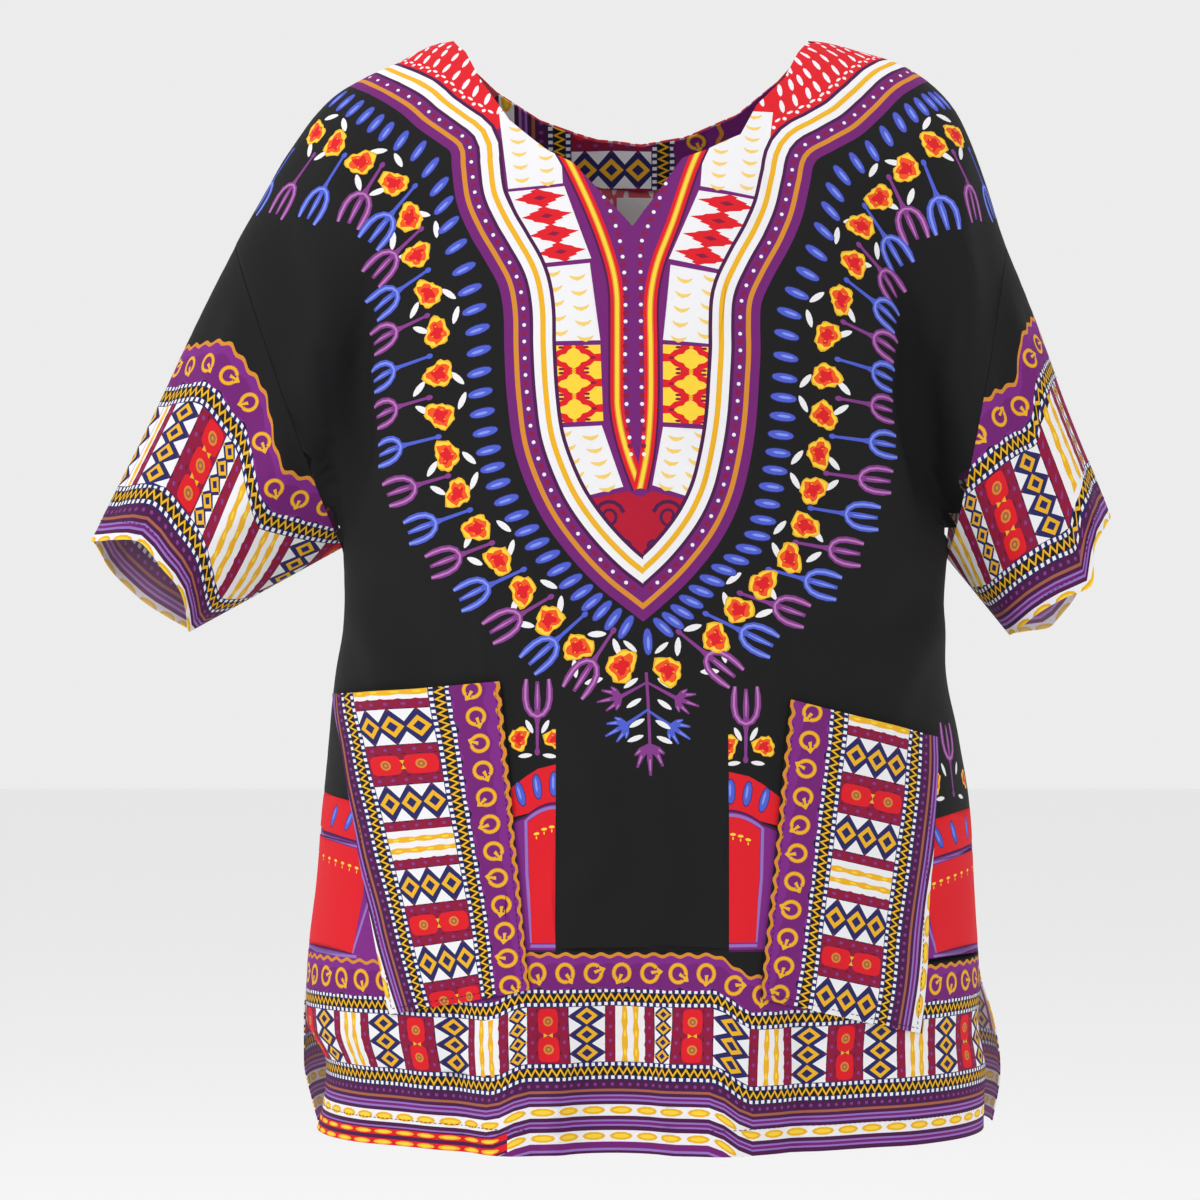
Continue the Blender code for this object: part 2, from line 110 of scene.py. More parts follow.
# Smaller creases laid on the form: face, upper end (across, height), lower end, half width, and how
# far it stands out. Pressed creases are narrow, soft folds are wide.
CREASES = [
    ("front", (-9.6, -35.5), (-9.9, -44.2), 0.5, 0.10),
    ("front", (9.4, -37.5), (9.3, -44.6), 0.5, 0.10),
    ("front", (-17.6, -16.0), (-18.6, -33.0), 0.8, -0.35),
    ("front", (17.9, -15.0), (19.3, -33.5), 0.8, -0.35),
    ("front", (-14.5, -20.0), (-15.8, -33.0), 1.6, 0.25),
    ("front", (15.0, -20.0), (16.6, -33.0), 1.6, 0.25),
    ("front", (-21.5, -10.0), (-20.5, -28.0), 1.2, 0.30),
    ("front", (21.8, -9.0), (22.2, -27.0), 1.2, 0.30),
    ("front", (-18.5, -36.0), (-12.0, -43.0), 1.5, -0.22),
    ("front", (19.5, -36.5), (13.5, -43.0), 1.5, -0.22),
    ("front", (-19.0, -38.5), (-15.0, -47.0), 1.3, 0.20),
    ("front", (20.4, -38.5), (17.0, -47.0), 1.3, 0.20),
    ("front", (-2.5, -46.0), (-3.4, -62.0), 1.8, 0.20),
    ("front", (3.8, -48.0), (3.4, -64.0), 1.8, -0.18),
    ("front", (-12.0, -62.0), (-11.4, -75.0), 1.1, -0.30),
    ("front", (10.6, -62.0), (11.2, -75.0), 1.1, -0.30),
    ("front", (-4.6, -66.0), (-4.9, -75.0), 0.9, 0.30),
    ("front", (2.8, -66.0), (2.6, -75.0), 0.9, 0.25),
    ("back", (-17.6, -16.0), (-18.6, -33.0), 0.8, -0.35),
    ("back", (17.9, -15.0), (19.3, -33.5), 0.8, -0.35),
    ("back", (-21.5, -10.0), (-20.5, -28.0), 1.2, 0.30),
    ("back", (21.8, -9.0), (22.2, -27.0), 1.2, 0.30),
    ("back", (-18.5, -36.0), (-12.0, -44.0), 1.6, -0.25),
    ("back", (19.5, -36.5), (13.5, -44.0), 1.6, -0.25),
    ("back", (-5.0, -30.0), (-4.0, -60.0), 1.8, -0.25),
    ("back", (4.5, -34.0), (5.2, -66.0), 1.6, 0.22),
    ("back", (-15.0, -52.0), (-15.6, -75.0), 1.4, 0.30),
    ("back", (15.2, -54.0), (16.0, -75.0), 1.4, -0.30),
    ("back", (-1.5, -56.0), (-2.2, -75.0), 1.3, 0.30),
]
# Folds that run down a sleeve: turn round the sleeve at the seam and at the cuff (0 is the top line,
# 1 the underarm, front positive), share of the length where it starts and ends, half width, outward.
SLEEVE_FOLDS = {
    "right": [(0.30, 0.34, -0.1, 1.1, 0.07, 0.45), (0.45, 0.52, -0.1, 0.9, 0.06, -0.35),
              (0.62, 0.62, -0.1, 0.8, 0.06, 0.30), (-0.35, -0.32, -0.1, 1.1, 0.08, 0.40),
              (-0.55, -0.50, -0.1, 1.0, 0.06, -0.35), (0.12, 0.16, 0.2, 1.1, 0.05, -0.22)],
    "left": [(0.26, 0.30, -0.1, 1.1, 0.07, 0.40), (0.42, 0.44, -0.1, 1.1, 0.06, -0.40),
             (0.60, 0.66, -0.1, 0.9, 0.06, 0.30), (-0.30, -0.34, -0.1, 1.1, 0.08, 0.40),
             (-0.52, -0.50, -0.1, 1.0, 0.06, -0.35), (0.10, 0.14, 0.3, 1.1, 0.05, -0.22)],
}

# A cuff's edge between its two ends: share of the way from top to foot, and how far it juts out
# along the arm (negative is towards the body).
CUFF_EDGE = {
    ("right", "front"): [(0.0, 0.0), (0.15, -1.4), (0.34, -2.6), (0.55, -2.3), (0.78, -1.9), (0.92, -0.9),
                         (1.0, 0.0)],
    ("right", "back"): [(0.0, 0.0), (0.21, 0.9), (0.5, 1.1), (0.8, 0.6), (1.0, 0.0)],
    ("left", "front"): [(0.0, 0.0), (0.24, 0.1), (0.44, 1.7), (0.6, 0.9), (0.8, 0.2), (1.0, 0.0)],
    ("left", "back"): [(0.0, 0.0), (0.25, 0.5), (0.45, 2.0), (0.75, 2.2), (0.9, 1.0), (1.0, 0.0)],
}
CUFF_DEPTH = {"front": 5.0, "back": 5.2}

# Neck edge of the front, as seen from the front: across, height. The V slit runs down to its foot.
FRONT_NECK = [
    (-12.2, 0.0), (-11.3, -0.9), (-10.3, -2.9), (-8.2, -6.0), (-5.6, -8.1), (-3.9, -9.0), (0.0, -13.3),
    (3.3, -8.7), (4.9, -8.1), (7.2, -7.0), (8.3, -4.9), (10.2, -3.0), (11.2, -1.0), (12.0, 0.0),
]
BACK_NECK = [
    (-12.2, 0.0), (-11.4, -1.2), (-9.4, -3.0), (-6.4, -4.8), (-2.4, -6.1), (0.6, -6.4), (3.6, -5.9),
    (7.2, -4.5), (10.0, -2.4), (11.3, -1.0), (12.0, 0.0),
]
FACING_FOOT = [(-10.9, -4.4), (-6.5, -7.8), (-2.2, -9.3), (0.6, -9.6), (3.6, -9.2), (7.6, -7.2),
               (10.9, -4.0)]
FACING_INSET = 0.12
LABEL_BOX = (-1.1, 1.5, -10.0, -12.6)      # left, right, top, foot

# Patch pockets as seen from the front: upper outer, upper inner, lower inner, lower outer corner.
POCKETS = {
    "right": [(-20.0, -44.4), (-8.6, -43.2), (-6.7, -63.2), (-16.0, -65.2)],
    "left": [(20.3, -47.2), (10.3, -44.4), (8.3, -63.8), (19.0, -66.6)],
}

# ---------------------------------------------------------------- sizes of the print

# Dyes: red, green and blue from 0 to 255 as the eye sees them.
DYES = {
    "black": (17, 17, 19), "white": (238, 237, 240), "purple": (114, 30, 114), "plum": (74, 20, 72),
    "violet": (126, 38, 132), "lilac": (150, 112, 190), "gold": (236, 178, 34), "yellow": (250, 212, 60),
    "orange": (214, 138, 44), "red": (222, 24, 38), "ember": (240, 88, 28), "maroon": (140, 16, 58),
    "crimson": (178, 18, 48), "straw": (242, 206, 110),
    "blue": (78, 94, 204), "sky": (130, 148, 238), "navy": (36, 36, 96), "brown": (164, 96, 70),
    "mauve": (132, 58, 136), "pink": (186, 120, 186),
}

# Outer edge of the shield round the neck and down the chest: across, height.
SHIELD_RIGHT = [
    (-18.6, -3.5), (-15.5, -5.4), (-14.4, -6.4), (-12.8, -7.6), (-12.1, -8.2), (-12.0, -9.2), (-11.6,
                                                                                               -11.8),
    (-10.7, -13.9), (-9.7, -15.6), (-8.8, -17.3), (-8.5, -18.8), (-8.4, -21.5), (-8.2, -24.8),
    (-7.8, -27.7), (-7.0, -30.2), (-5.9, -32.5), (-4.2, -34.9), (-2.1, -37.1), (-0.2, -38.6),
]
SHIELD_TIP = (0.7, -39.3)
SHIELD_LEFT = [
    (1.9, -38.3), (4.0, -36.3), (5.9, -33.8), (7.0, -31.5), (7.7, -28.8), (8.1, -26.3), (8.3, -23.4),
    (8.4, -21.5), (8.4, -19.8), (8.5, -18.4), (9.2, -16.8), (10.4, -14.6), (11.2, -12.7), (11.8, -10.3),
    (12.2, -8.8), (13.5, -8.0), (15.2, -7.0), (16.7, -5.6), (18.2, -4.0), (19.5, -3.1),
]
# The shield's bands, from its outer edge inwards: start, end, dye.
SHIELD_BANDS = [
    (0.0, 0.62, "purple"), (0.62, 0.95, "orange"), (0.95, 1.72, "purple"), (1.72, 1.95, "plum"),
    (1.95, 3.2, "white"), (3.2, 3.45, "plum"),
]
# The two red and yellow strips that run from the neck to their meeting below the slit.
STRIP_RIGHT = [(-5.2, -7.2), (-4.1, -9.1), (-2.8, -11.9), (-1.8, -14.5), (-1.2, -16.6), (-1.0, -18.5),
               (-1.0, -21.6), (-1.0, -24.8), (-0.8, -26.5), (-0.3, -28.4), (0.5, -30.6)]
STRIP_LEFT = [(5.0, -7.0), (4.0, -9.1), (2.7, -12.9), (1.6, -15.9), (1.2, -18.0), (1.2, -21.6),
              (1.2, -24.8), (1.1, -26.8), (0.9, -28.6), (0.5, -30.6)]
DOTS_RIGHT = [(-2.3, -10.4), (-1.2, -13.0), (-0.8, -14.4), (-0.5, -17.0), (-0.45, -24.0), (-0.1, -28.4)]
DOTS_LEFT = [(2.2, -10.4), (1.1, -13.1), (0.6, -14.4), (0.55, -17.0), (0.6, -24.0), (0.75, -28.4)]
# Panels of the shield, downwards: figure, then each one's four corners from the upper outer one.
PANELS = [
    ("lashes", [(-8.9, -5.4), (-5.0, -5.4), (-4.6, -10.4), (-8.2, -10.8)]),
    ("zigzags", [(-8.2, -11.0), (-4.5, -10.6), (-2.7, -15.5), (-6.2, -15.8)]),
    ("lashes", [(-6.2, -16.1), (-2.8, -15.8), (-2.1, -20.9), (-5.6, -21.0)]),
    ("tiles", [(-5.6, -21.3), (-2.1, -21.2), (-1.9, -26.2), (-5.6, -26.4)]),
    ("lashes", [(-5.5, -26.7), (-2.0, -26.5), (-0.6, -30.5), (-4.2, -31.4)]),
    ("lashes", [(9.4, -5.4), (5.0, -5.2), (4.5, -10.6), (8.6, -11.4)]),
    ("zigzags", [(8.6, -11.6), (4.4, -10.9), (2.4, -15.5), (6.2, -16.3)]),
    ("lashes", [(6.2, -16.6), (2.5, -15.9), (2.0, -20.9), (5.7, -21.2)]),
    ("tiles", [(5.7, -21.4), (2.0, -21.2), (2.0, -26.3), (5.6, -26.5)]),
    ("lashes", [(5.6, -26.8), (2.0, -26.6), (1.3, -30.4), (4.4, -31.4)]),
]
HEART = [(-4.2, -31.6), (-0.3, -30.8), (0.5, -31.2), (1.3, -30.8), (4.3, -31.6), (3.4, -33.6), (0.6, -37.2),
         (-2.8, -33.8)]

# The ring of figures round the shield: places of its inner petals and of its outer tips.
RING_RIGHT = [
    (-20.5, -3.9, -26.3, -11.9), (-17.8, -5.6, -22.4, -12.7), (-16.0, -7.0, -19.4, -13.1),
    (-14.4, -7.9, -18.0, -13.5), (-13.0, -10.1, -17.6, -15.1), (-12.3, -12.7, -17.5, -17.4),
    (-10.9, -16.8, -17.6, -20.1), (-10.2, -19.9, -17.5, -22.8), (-10.0, -24.3, -17.2, -26.4),
    (-9.4, -28.3, -16.5, -30.3), (-8.6, -30.7, -15.3, -33.0), (-7.2, -32.9, -13.9, -35.3),
    (-5.3, -35.3, -11.4, -38.2), (-3.4, -37.3, -8.8, -40.8), (-1.3, -39.1, -4.7, -43.7),
    (0.0, -39.9, -2.4, -44.6),
]
RING_LEFT = [
    (21.2, -4.2, 25.0, -12.4), (19.7, -4.6, 23.0, -12.8), (18.0, -5.9, 20.8, -13.7),
    (15.7, -8.3, 18.8, -14.4), (13.9, -9.8, 18.2, -16.0), (13.1, -12.3, 18.0, -18.0),
    (11.8, -15.9, 17.8, -20.0), (10.4, -18.8, 17.7, -22.0), (10.0, -23.1, 17.5, -24.7),
    (9.7, -27.2, 17.3, -28.3), (9.0, -30.9, 16.5, -32.0), (7.8, -34.3, 14.8, -35.7),
    (6.1, -35.8, 13.0, -37.9), (4.4, -37.4, 10.6, -39.8), (2.9, -39.0, 8.0, -42.3),
    (1.7, -39.9, 5.4, -44.0),
]

# The border along every hem, from the cloth's edge up: start, end, dye.
BORDER_STRIPES = [
    (-2.0, 0.18, "plum"), (0.18, 0.34, "lilac"), (0.34, 0.75, "purple"), (0.75, 1.5, "white"),
    (1.5, 1.78, "plum"), (1.78, 1.9, "lilac"), (1.9, 2.08, "purple"), (2.08, 2.2, "lilac"),
    (2.2, 2.45, "plum"), (2.45, 3.2, "white"), (3.2, 3.42, "plum"), (3.42, 3.56, "lilac"),
    (3.56, 3.72, "purple"), (3.72, 3.84, "lilac"), (3.84, 4.05, "plum"), (4.05, 4.22, "brown"),
    (4.22, 4.82, "plum"),
]
BEADS_FOOT = 4.82      # first row of beads
BEADS_WIDTH = 1.2      # beads, zigzag and beads
COLUMN_FOOT = 6.02
RINGS_WIDTH = 2.2      # purple band of gold rings
# Columns of the border: width of each kind.
COLUMNS = {"m": 0.62, "D": 2.45, "Y": 1.9, "d": 1.25, "R": 1.42, "y": 1.0}


# ---------------------------------------------------------------- curves through table rows

def smooth(at, xs, ys):
    """A smooth curve through the rows (xs rising), read at the given places."""
    xs = np.asarray(xs, float)
    ys = np.asarray(ys, float)
    at = np.clip(at, xs[0], xs[-1])
    slopes = np.diff(ys) / np.diff(xs)
    tangent = np.concatenate([slopes[:1], (slopes[1:] + slopes[:-1]) / 2, slopes[-1:]])
    tangent[1:-1][slopes[1:] * slopes[:-1] <= 0] = 0.0
    i = np.clip(np.searchsorted(xs, at) - 1, 0, len(xs) - 2)
    step = xs[i + 1] - xs[i]
    t = (at - xs[i]) / step
    return ((1 + 2 * t) * (1 - t) ** 2 * ys[i] + t * (1 - t) ** 2 * step * tangent[i]
            + t * t * (3 - 2 * t) * ys[i + 1] + t * t * (t - 1) * step * tangent[i + 1])


def column(rows, key, value):
    """Two columns of a table, in rising order of the first."""
    ordered = sorted(rows, key=lambda row: row[key])
    return [row[key] for row in ordered], [row[value] for row in ordered]


def ramp(at, start, end):
    """0 at the start, 1 at the end, eased at both."""
    t = np.clip((at - start) / (end - start), 0.0, 1.0)
    return t * t * (3 - 2 * t)


def between(a, b, share):
    """A place part of the way from one place to another."""
    return np.asarray(a, float) + (np.asarray(b, float) - np.asarray(a, float)) * share


def eased_line(points, step):
    """A smooth line through the places, in steps of about the given length."""
    points = np.asarray(points, float)
    run = np.concatenate([[0], np.cumsum(np.linalg.norm(np.diff(points, axis=0), axis=1))])
    at = np.linspace(0, run[-1], max(2, round(run[-1] / step) + 1))
    return np.stack([smooth(at, run, points[:, k]) for k in range(points.shape[1])], axis=1)


# ---------------------------------------------------------------- the form

def upper_outline(side):
    """The outline from the middle of the neck over the shoulder and down the sleeve, finely read."""
    rows = [(-40.0, 0.0), (9.0, 0.0)] + SHOULDER[side] + [CUFF_TOP[side]]
    reach = np.concatenate([[-40.0, 9.0], np.linspace(9.2, CUFF_TOP[side][0], 600)])
    return reach, smooth(reach, *column(rows, 0, 1))


OUTLINES = {side: upper_outline(side) for side in SIDES}


def edge_reach(height, side, face):
    """How far a panel reaches to its side at each height: shoulder, sleeve seam, then side seam."""
    arm_reach, arm_height = ARMPIT[side]
    top_reach = SHOULDER[side][-1][0]
    outline_reach, outline_height = OUTLINES[side]
    sloping = outline_reach >= SHOULDER[side][0][0] - 0.05
    shoulder = np.interp(height, outline_height[sloping][::-1], outline_reach[sloping][::-1])
    share = (height - SEAM_TOP) / (arm_height - SEAM_TOP)
    armhole = top_reach + (arm_reach - top_reach) * share
    seam = smooth(height, *column(SIDE_SEAM[side], 0, 1 if face == "front" else 2))
    return np.where(height > SEAM_TOP, shoulder, np.where(height > arm_height, armhole, seam))


def top_line(reach, side):
    """Height and slope of the upper outline: level at the neck, down the shoulder and the sleeve."""
    xs, zs = OUTLINES[side]
    slope = (np.interp(reach + 0.8, xs, zs) - np.interp(reach - 0.8, xs, zs)) / 1.6
    return np.interp(reach, xs, zs), slope


def depth(across, height, face):
    """How far the cloth stands from the middle plane, on one face."""
    across = np.asarray(across, float)
    height = np.asarray(height, float)
    front = face == "front"
    reach_depth = smooth(height, *column(SECTIONS, 0, 1 if front else 2))
    result = np.zeros(np.broadcast(across, height).shape)
    for side, sign in SIDES.items():
        reach = across * sign
        mine = reach >= 0
        top, slope = top_line(reach, side)
        below = np.clip(top - height, 0.0, None) / np.sqrt(1 + slope ** 2)
        rounding = 1 - (1 - np.clip(below / SHOULDER_ROUND, 0, 1)) ** 2
        root = smooth(height, *column(SECTIONS, 0, 3))
        arm_reach, arm_height = ARMPIT[side]
        lower = edge_reach(height, side, face)
        joined = ramp(height, arm_height, arm_height + 6.0)
        half_width = np.where(height > arm_height, arm_reach * (1 - joined) + root * joined, lower)
        share = np.clip(reach / half_width, 0, 1)
        body = reach_depth * (1 - share ** SECTION_POWER) ** (1 / SECTION_POWER) * np.sqrt(rounding)
        foot_reach, foot_height = CUFF_FOOT[side]
        run = math.hypot(foot_reach - arm_reach, foot_height - arm_height)
        rise_x = -(foot_height - arm_height) / run
        rise_z = (foot_reach - arm_reach) / run
        above = (reach - arm_reach) * rise_x + (height - arm_height) * rise_z
        share = np.clip(below, 0, None) / np.clip(below + np.clip(above, 0, None), 1e-6, None)
        head = SLEEVE_HEAD[face] * 2 * np.sqrt(np.clip(share * (1 - share), 0, None))
        head = head * np.where(above > 0, 1.0, 0.0) * ramp(reach, arm_reach - HEAD_BLEND, arm_reach + 1.0)
        whole = (body ** UNION_POWER + head ** UNION_POWER) ** (1 / UNION_POWER)
        result = np.where(mine, whole, result)
    for fold_face, top_x, foot_x, top_z, foot_z, half, out in FOLDS:
        if fold_face == face:
            share = np.clip((top_z - height) / (top_z - foot_z), 0, 1)
            centre = top_x + (foot_x - top_x) * share
            closing = ramp(height, foot_z, foot_z + 8.0) if foot_z > -60 else 1.0
            shape = np.exp(-((across - centre) / half) ** 2)
            result = result + out * shape * ramp(share, 0.0, 0.5) * closing * np.clip(result / 6.0, 0, 1)
    return result


def body_point(turn, height, face):
    """A point of a body panel. turn runs -1 to 1 from side to side, evenly round the curve."""
    share = np.sin(np.pi / 2 * turn)
    right = edge_reach(height, "right", face)
    left = edge_reach(height, "left", face)
    across = share * np.where(turn < 0, right, left)
    out = depth(across, height, face) + SEAM_GAP / 2
    return np.stack([across, -out if face == "front" else out, height], axis=-1)


def turn_of(across, height, face):
    """The turn at which a panel reaches a place as seen from the front."""
    across = np.asarray(across, float)
    height = np.asarray(height, float)
    reach = np.where(across < 0, edge_reach(height, "right", face), edge_reach(height, "left", face))
    return np.arcsin(np.clip(across / reach, -1, 1)) * 2 / np.pi


def crease_height(across, height, face):
    """How far the smaller creases lift or sink the cloth at each place."""
    total = np.zeros(np.shape(across))
    for fold_face, top, foot, half, out in CREASES:
        if fold_face != face:
            continue
        run = np.array(foot) - np.array(top)
        length = np.linalg.norm(run)
        run = run / length
        along = (across - top[0]) * run[0] + (height - top[1]) * run[1]
        aside = (across - top[0]) * run[1] - (height - top[1]) * run[0]
        aside = aside + 0.35 * half * np.sin(along * 0.55 + top[0])
        ends = ramp(along, -0.15 * length, 0.3 * length)
        ends = ends * (1 - ramp(along, 0.72 * length, 1.1 * length)) if foot[1] > HEM + 2 else ends
        total = total + out * ends * np.exp(-(aside / half) ** 2)
    ripple = (np.sin(across * 0.62 + height * 0.21) * np.sin(height * 0.37 - across * 0.18)
              + 0.6 * np.sin(across * 1.25 - height * 0.33 + 1.3) * np.sin(height * 0.71 + across * 0.4))
    return 2.0 * total + 0.09 * ripple


class Panel:
    """A body panel of the form, front or back."""

    def __init__(self, face):
        self.face = face
        self.second_range = (HEM - 1.0, 0.0)
        self.handed = 1 if face == "front" else -1

    def base(self, turn, height):
        return body_point(turn, height, self.face)

    def rise(self, turn, height):
        reach = np.where(turn < 0, edge_reach(height, "right", self.face),
                         edge_reach(height, "left", self.face))
        across = np.sin(np.pi / 2 * turn) * reach
        free = ramp(1 - np.abs(turn), 0.0, 0.07)
        return crease_height(across, height, self.face) * free


class Sleeve:
    """A sleeve of the form: turn runs -1 to 1 round it from the underarm, and share down its length."""

    def __init__(self, side):
        self.side = side
        self.sign = SIDES[side]
        self.second_range = (0.0, 1.0)
        self.handed = self.sign

    def rings(self, turn):
        """The sleeve seam and the cuff's edge at each turn."""
        face_front = turn >= 0
        share = (1 - np.cos(np.pi * np.abs(turn))) / 2
        height = SEAM_TOP + (ARMPIT[self.side][1] - SEAM_TOP) * share
        ends = np.full(np.shape(turn), float(self.sign))
        start = np.where(face_front[..., None], body_point(ends, height, "front"),
                         body_point(ends, height, "back"))
        start[..., 1] *= np.clip(np.abs(turn) / 0.02, 0, 1)
        top = np.array(CUFF_TOP[self.side])
        foot = np.array(CUFF_FOOT[self.side])
        chord = foot - top
        along = np.array([-chord[1], chord[0]]) / np.linalg.norm(chord)
        jut_front = smooth(share, *column(CUFF_EDGE[self.side, "front"], 0, 1))
        jut_back = smooth(share, *column(CUFF_EDGE[self.side, "back"], 0, 1))
        jut = np.where(face_front, jut_front, jut_back)
        half = np.where(face_front, -CUFF_DEPTH["front"], CUFF_DEPTH["back"])
        reach = top[0] + chord[0] * share + along[0] * jut
        height = top[1] + chord[1] * share + along[1] * jut
        end = np.stack([self.sign * reach, half * np.sin(np.pi * np.abs(turn)), height], axis=-1)
        return start, end

    def base(self, turn, share):
        start, end = self.rings(turn)
        return start + (end - start) * share[..., None]

    def rise(self, turn, share):
        total = np.zeros(np.shape(turn))
        for head, cuff, begin, stop, half, out in SLEEVE_FOLDS[self.side]:
            centre = head + (cuff - head) * share
            ends = ramp(share, begin, begin + 0.3) * (1 - ramp(share, stop - 0.25, stop))
            total = total + out * ends * np.exp(-((turn - centre) / half) ** 2)
        ripple = np.sin(turn * 9.0 + share * 3.0) * np.sin(share * 6.0 - turn * 4.0 + 0.7)
        free = ramp(share, 0.0, 0.12) * ramp(1 - np.abs(turn), 0.0, 0.08)
        return (total + 0.08 * ripple) * free


# ---------------------------------------------------------------- cloth laid flat

def settled(points, flat, weight, rounds):
    """Lets a grid laid flat settle until its threads are as long as on the form."""
    flat = flat.copy()
    rows, columns = weight.shape
    links = []
    for down, side in ((0, 1), (1, 0), (1, 1), (1, -1)):
        a = (slice(0, rows - down), slice(max(0, -side), columns - max(0, side)))
        b = (slice(down, rows), slice(max(0, side), columns - max(0, -side)))
        length = np.linalg.norm(points[b] - points[a], axis=-1)
        links.append((a, b, length, np.minimum(weight[a], weight[b])))
    for _ in range(rounds):
        moved = np.zeros_like(flat)
        share = np.full(weight.shape, 1e-9)
        for a, b, length, pull in links:
            run = flat[b] - flat[a]
            now = np.clip(np.linalg.norm(run, axis=-1), 1e-6, None)
            shift = run * (0.5 * pull * (now - length) / now)[..., None]
            moved[a] += shift
            moved[b] -= shift
            share[a] += pull
            share[b] += pull
        flat += 1.6 * moved / share[..., None]
    return flat


class Cloth:
    """A piece of cloth: where its grid lies on the form, and where it lies when flat."""

    def __init__(self, form, first, second, start, weight):
        self.form = form
        self.first = first
        self.second = second
        grid = np.meshgrid(first, second)
        points = form.base(*grid)
        flat = start
        for stride, rounds in ((8, 500), (4, 300), (2, 200), (1, 120)):
            coarse = settled(points[::stride, ::stride], flat[::stride, ::stride],
                             weight[::stride, ::stride], rounds)
            change = coarse - flat[::stride, ::stride]
            while change.shape[0] < flat.shape[0]:
                finer = np.zeros((change.shape[0] * 2 - 1, change.shape[1] * 2 - 1, 2))
                finer[::2, ::2] = change
                finer[1::2, ::2] = (change[1:] + change[:-1]) / 2
                finer[:, 1::2] = (finer[:, 2::2] + finer[:, :-1:2]) / 2
                change = finer
            flat = flat + change
        self.flat = flat
        self.turned_to_plumb()
        rows, columns = weight.shape
        index = np.arange(rows * columns).reshape(rows, columns)
        a, b, c, d = index[:-1, :-1], index[:-1, 1:], index[1:, 1:], index[1:, :-1]
        self.triangles = np.concatenate([np.stack([a, b, c], -1).reshape(-1, 3),
                                         np.stack([a, c, d], -1).reshape(-1, 3)])
        self.nodes = self.flat.reshape(-1, 2)
        self.places = np.stack([axis.reshape(-1) for axis in grid], axis=1)
        corners = [(x, y, 0.0) for x, y in self.nodes]
        self.tree = BVHTree.FromPolygons(corners, [tuple(t) for t in self.triangles.tolist()])

    def turned_to_plumb(self):
        """Turns the flat cloth until its middle line is plumb, with the middle line at 0."""
        middle = self.flat.shape[1] // 2
        rows = self.flat.shape[0]
        top, foot = self.flat[rows // 4, middle], self.flat[rows - 1, middle]
        run = foot - top
        angle = math.atan2(run[0], -run[1])
        cos, sin = math.cos(-angle), math.sin(-angle)
        self.flat = (self.flat - foot) @ np.array([[cos, sin], [-sin, cos]])

    def lay_flat(self, first, second):
        """Flat places of places given by the form's two directions."""
        fi = np.interp(first, self.first, np.arange(len(self.first)))
        down = np.argsort(self.second)
        se = np.interp(second, self.second[down], np.arange(len(self.second))[down])
        i = np.clip(fi.astype(int), 0, len(self.first) - 2)
        j = np.clip(se.astype(int), 0, len(self.second) - 2)
        s, t = (fi - i)[..., None], (se - j)[..., None]
        grid = self.flat
        return ((grid[j, i] * (1 - s) + grid[j, i + 1] * s) * (1 - t)
                + (grid[j + 1, i] * (1 - s) + grid[j + 1, i + 1] * s) * t)

    def seen(self, places):
        """Flat places of places seen from the front: across, height. Past the edges it goes straight on."""
        places = np.asarray(places, float).reshape(-1, 2)
        across, height = places[:, 0], places[:, 1]
        held = np.clip(height, self.second[-1], 0.0)
        face = self.form.face
        reach = np.clip(across, -edge_reach(held, "right", face), edge_reach(held, "left", face))
        flat = self.lay_flat(turn_of(reach, held, face), held)
        return flat + np.stack([across - reach, height - held], axis=1)

    def lay_on(self, flat_places):
        """The form's two directions at each flat place."""
        found = [self.tree.find_nearest((x, y, 0.0)) for x, y in flat_places.tolist()]
        spot = np.array([hit[0][:2] for hit in found])
        corner = self.triangles[[hit[2] for hit in found]]
        a, b, c = (self.nodes[corner[:, k]] for k in range(3))
        v0, v1, v2 = b - a, c - a, spot - a
        whole = v0[:, 0] * v1[:, 1] - v0[:, 1] * v1[:, 0]
        s = (v2[:, 0] * v1[:, 1] - v2[:, 1] * v1[:, 0]) / whole
        t = (v0[:, 0] * v2[:, 1] - v0[:, 1] * v2[:, 0]) / whole
        place = (self.places[corner[:, 0]] * (1 - s - t)[:, None] + self.places[corner[:, 1]] * s[:, None]
                 + self.places[corner[:, 2]] * t[:, None])
        return place[:, 0], place[:, 1]


def panel_cloth(face):
    """A body panel's cloth. Its own neck hole hardly counts while it settles flat."""
    turns = np.linspace(-1, 1, 81)
    heights = np.linspace(0.0, HEM if face == "front" else BACK_HEM, 97)
    turn, height = np.meshgrid(turns, heights)
    form = Panel(face)
    points = form.base(turn, height)
    step = np.linalg.norm(np.diff(points, axis=1), axis=-1)
    run = np.concatenate([np.zeros((len(heights), 1)), np.cumsum(step, axis=1)], axis=1)
    start = np.stack([run - run[:, 40:41], height], axis=-1)
    neck = FRONT_NECK if face == "front" else BACK_NECK
    neck_height = np.interp(points[..., 0], [x for x, _ in neck], [z for _, z in neck], left=5, right=5)
    weight = np.where(height > neck_height + 0.8, 0.04, 1.0)
    return Cloth(form, turns, heights, start, weight)


def sleeve_cloth(side):
    """A sleeve's cloth, opened along the underarm."""
    turns = np.linspace(-1, 1, 65)
    shares = np.linspace(0.003, 1.0, 33)
    turn, share = np.meshgrid(turns, shares)
    form = Sleeve(side)
    points = form.base(turn, share)
    step = np.linalg.norm(np.diff(points, axis=1), axis=-1)
    run = np.concatenate([np.zeros((len(shares), 1)), np.cumsum(step, axis=1)], axis=1)
    begin, end = form.rings(turn)
    length = np.linalg.norm(end - begin, axis=-1)
    start = np.stack([-SIDES[side] * (run - run[:, 32:33]), (1 - share) * length], axis=-1)
    return Cloth(form, turns, shares, start, np.ones(turn.shape))


# ---------------------------------------------------------------- drawing on flat cloth

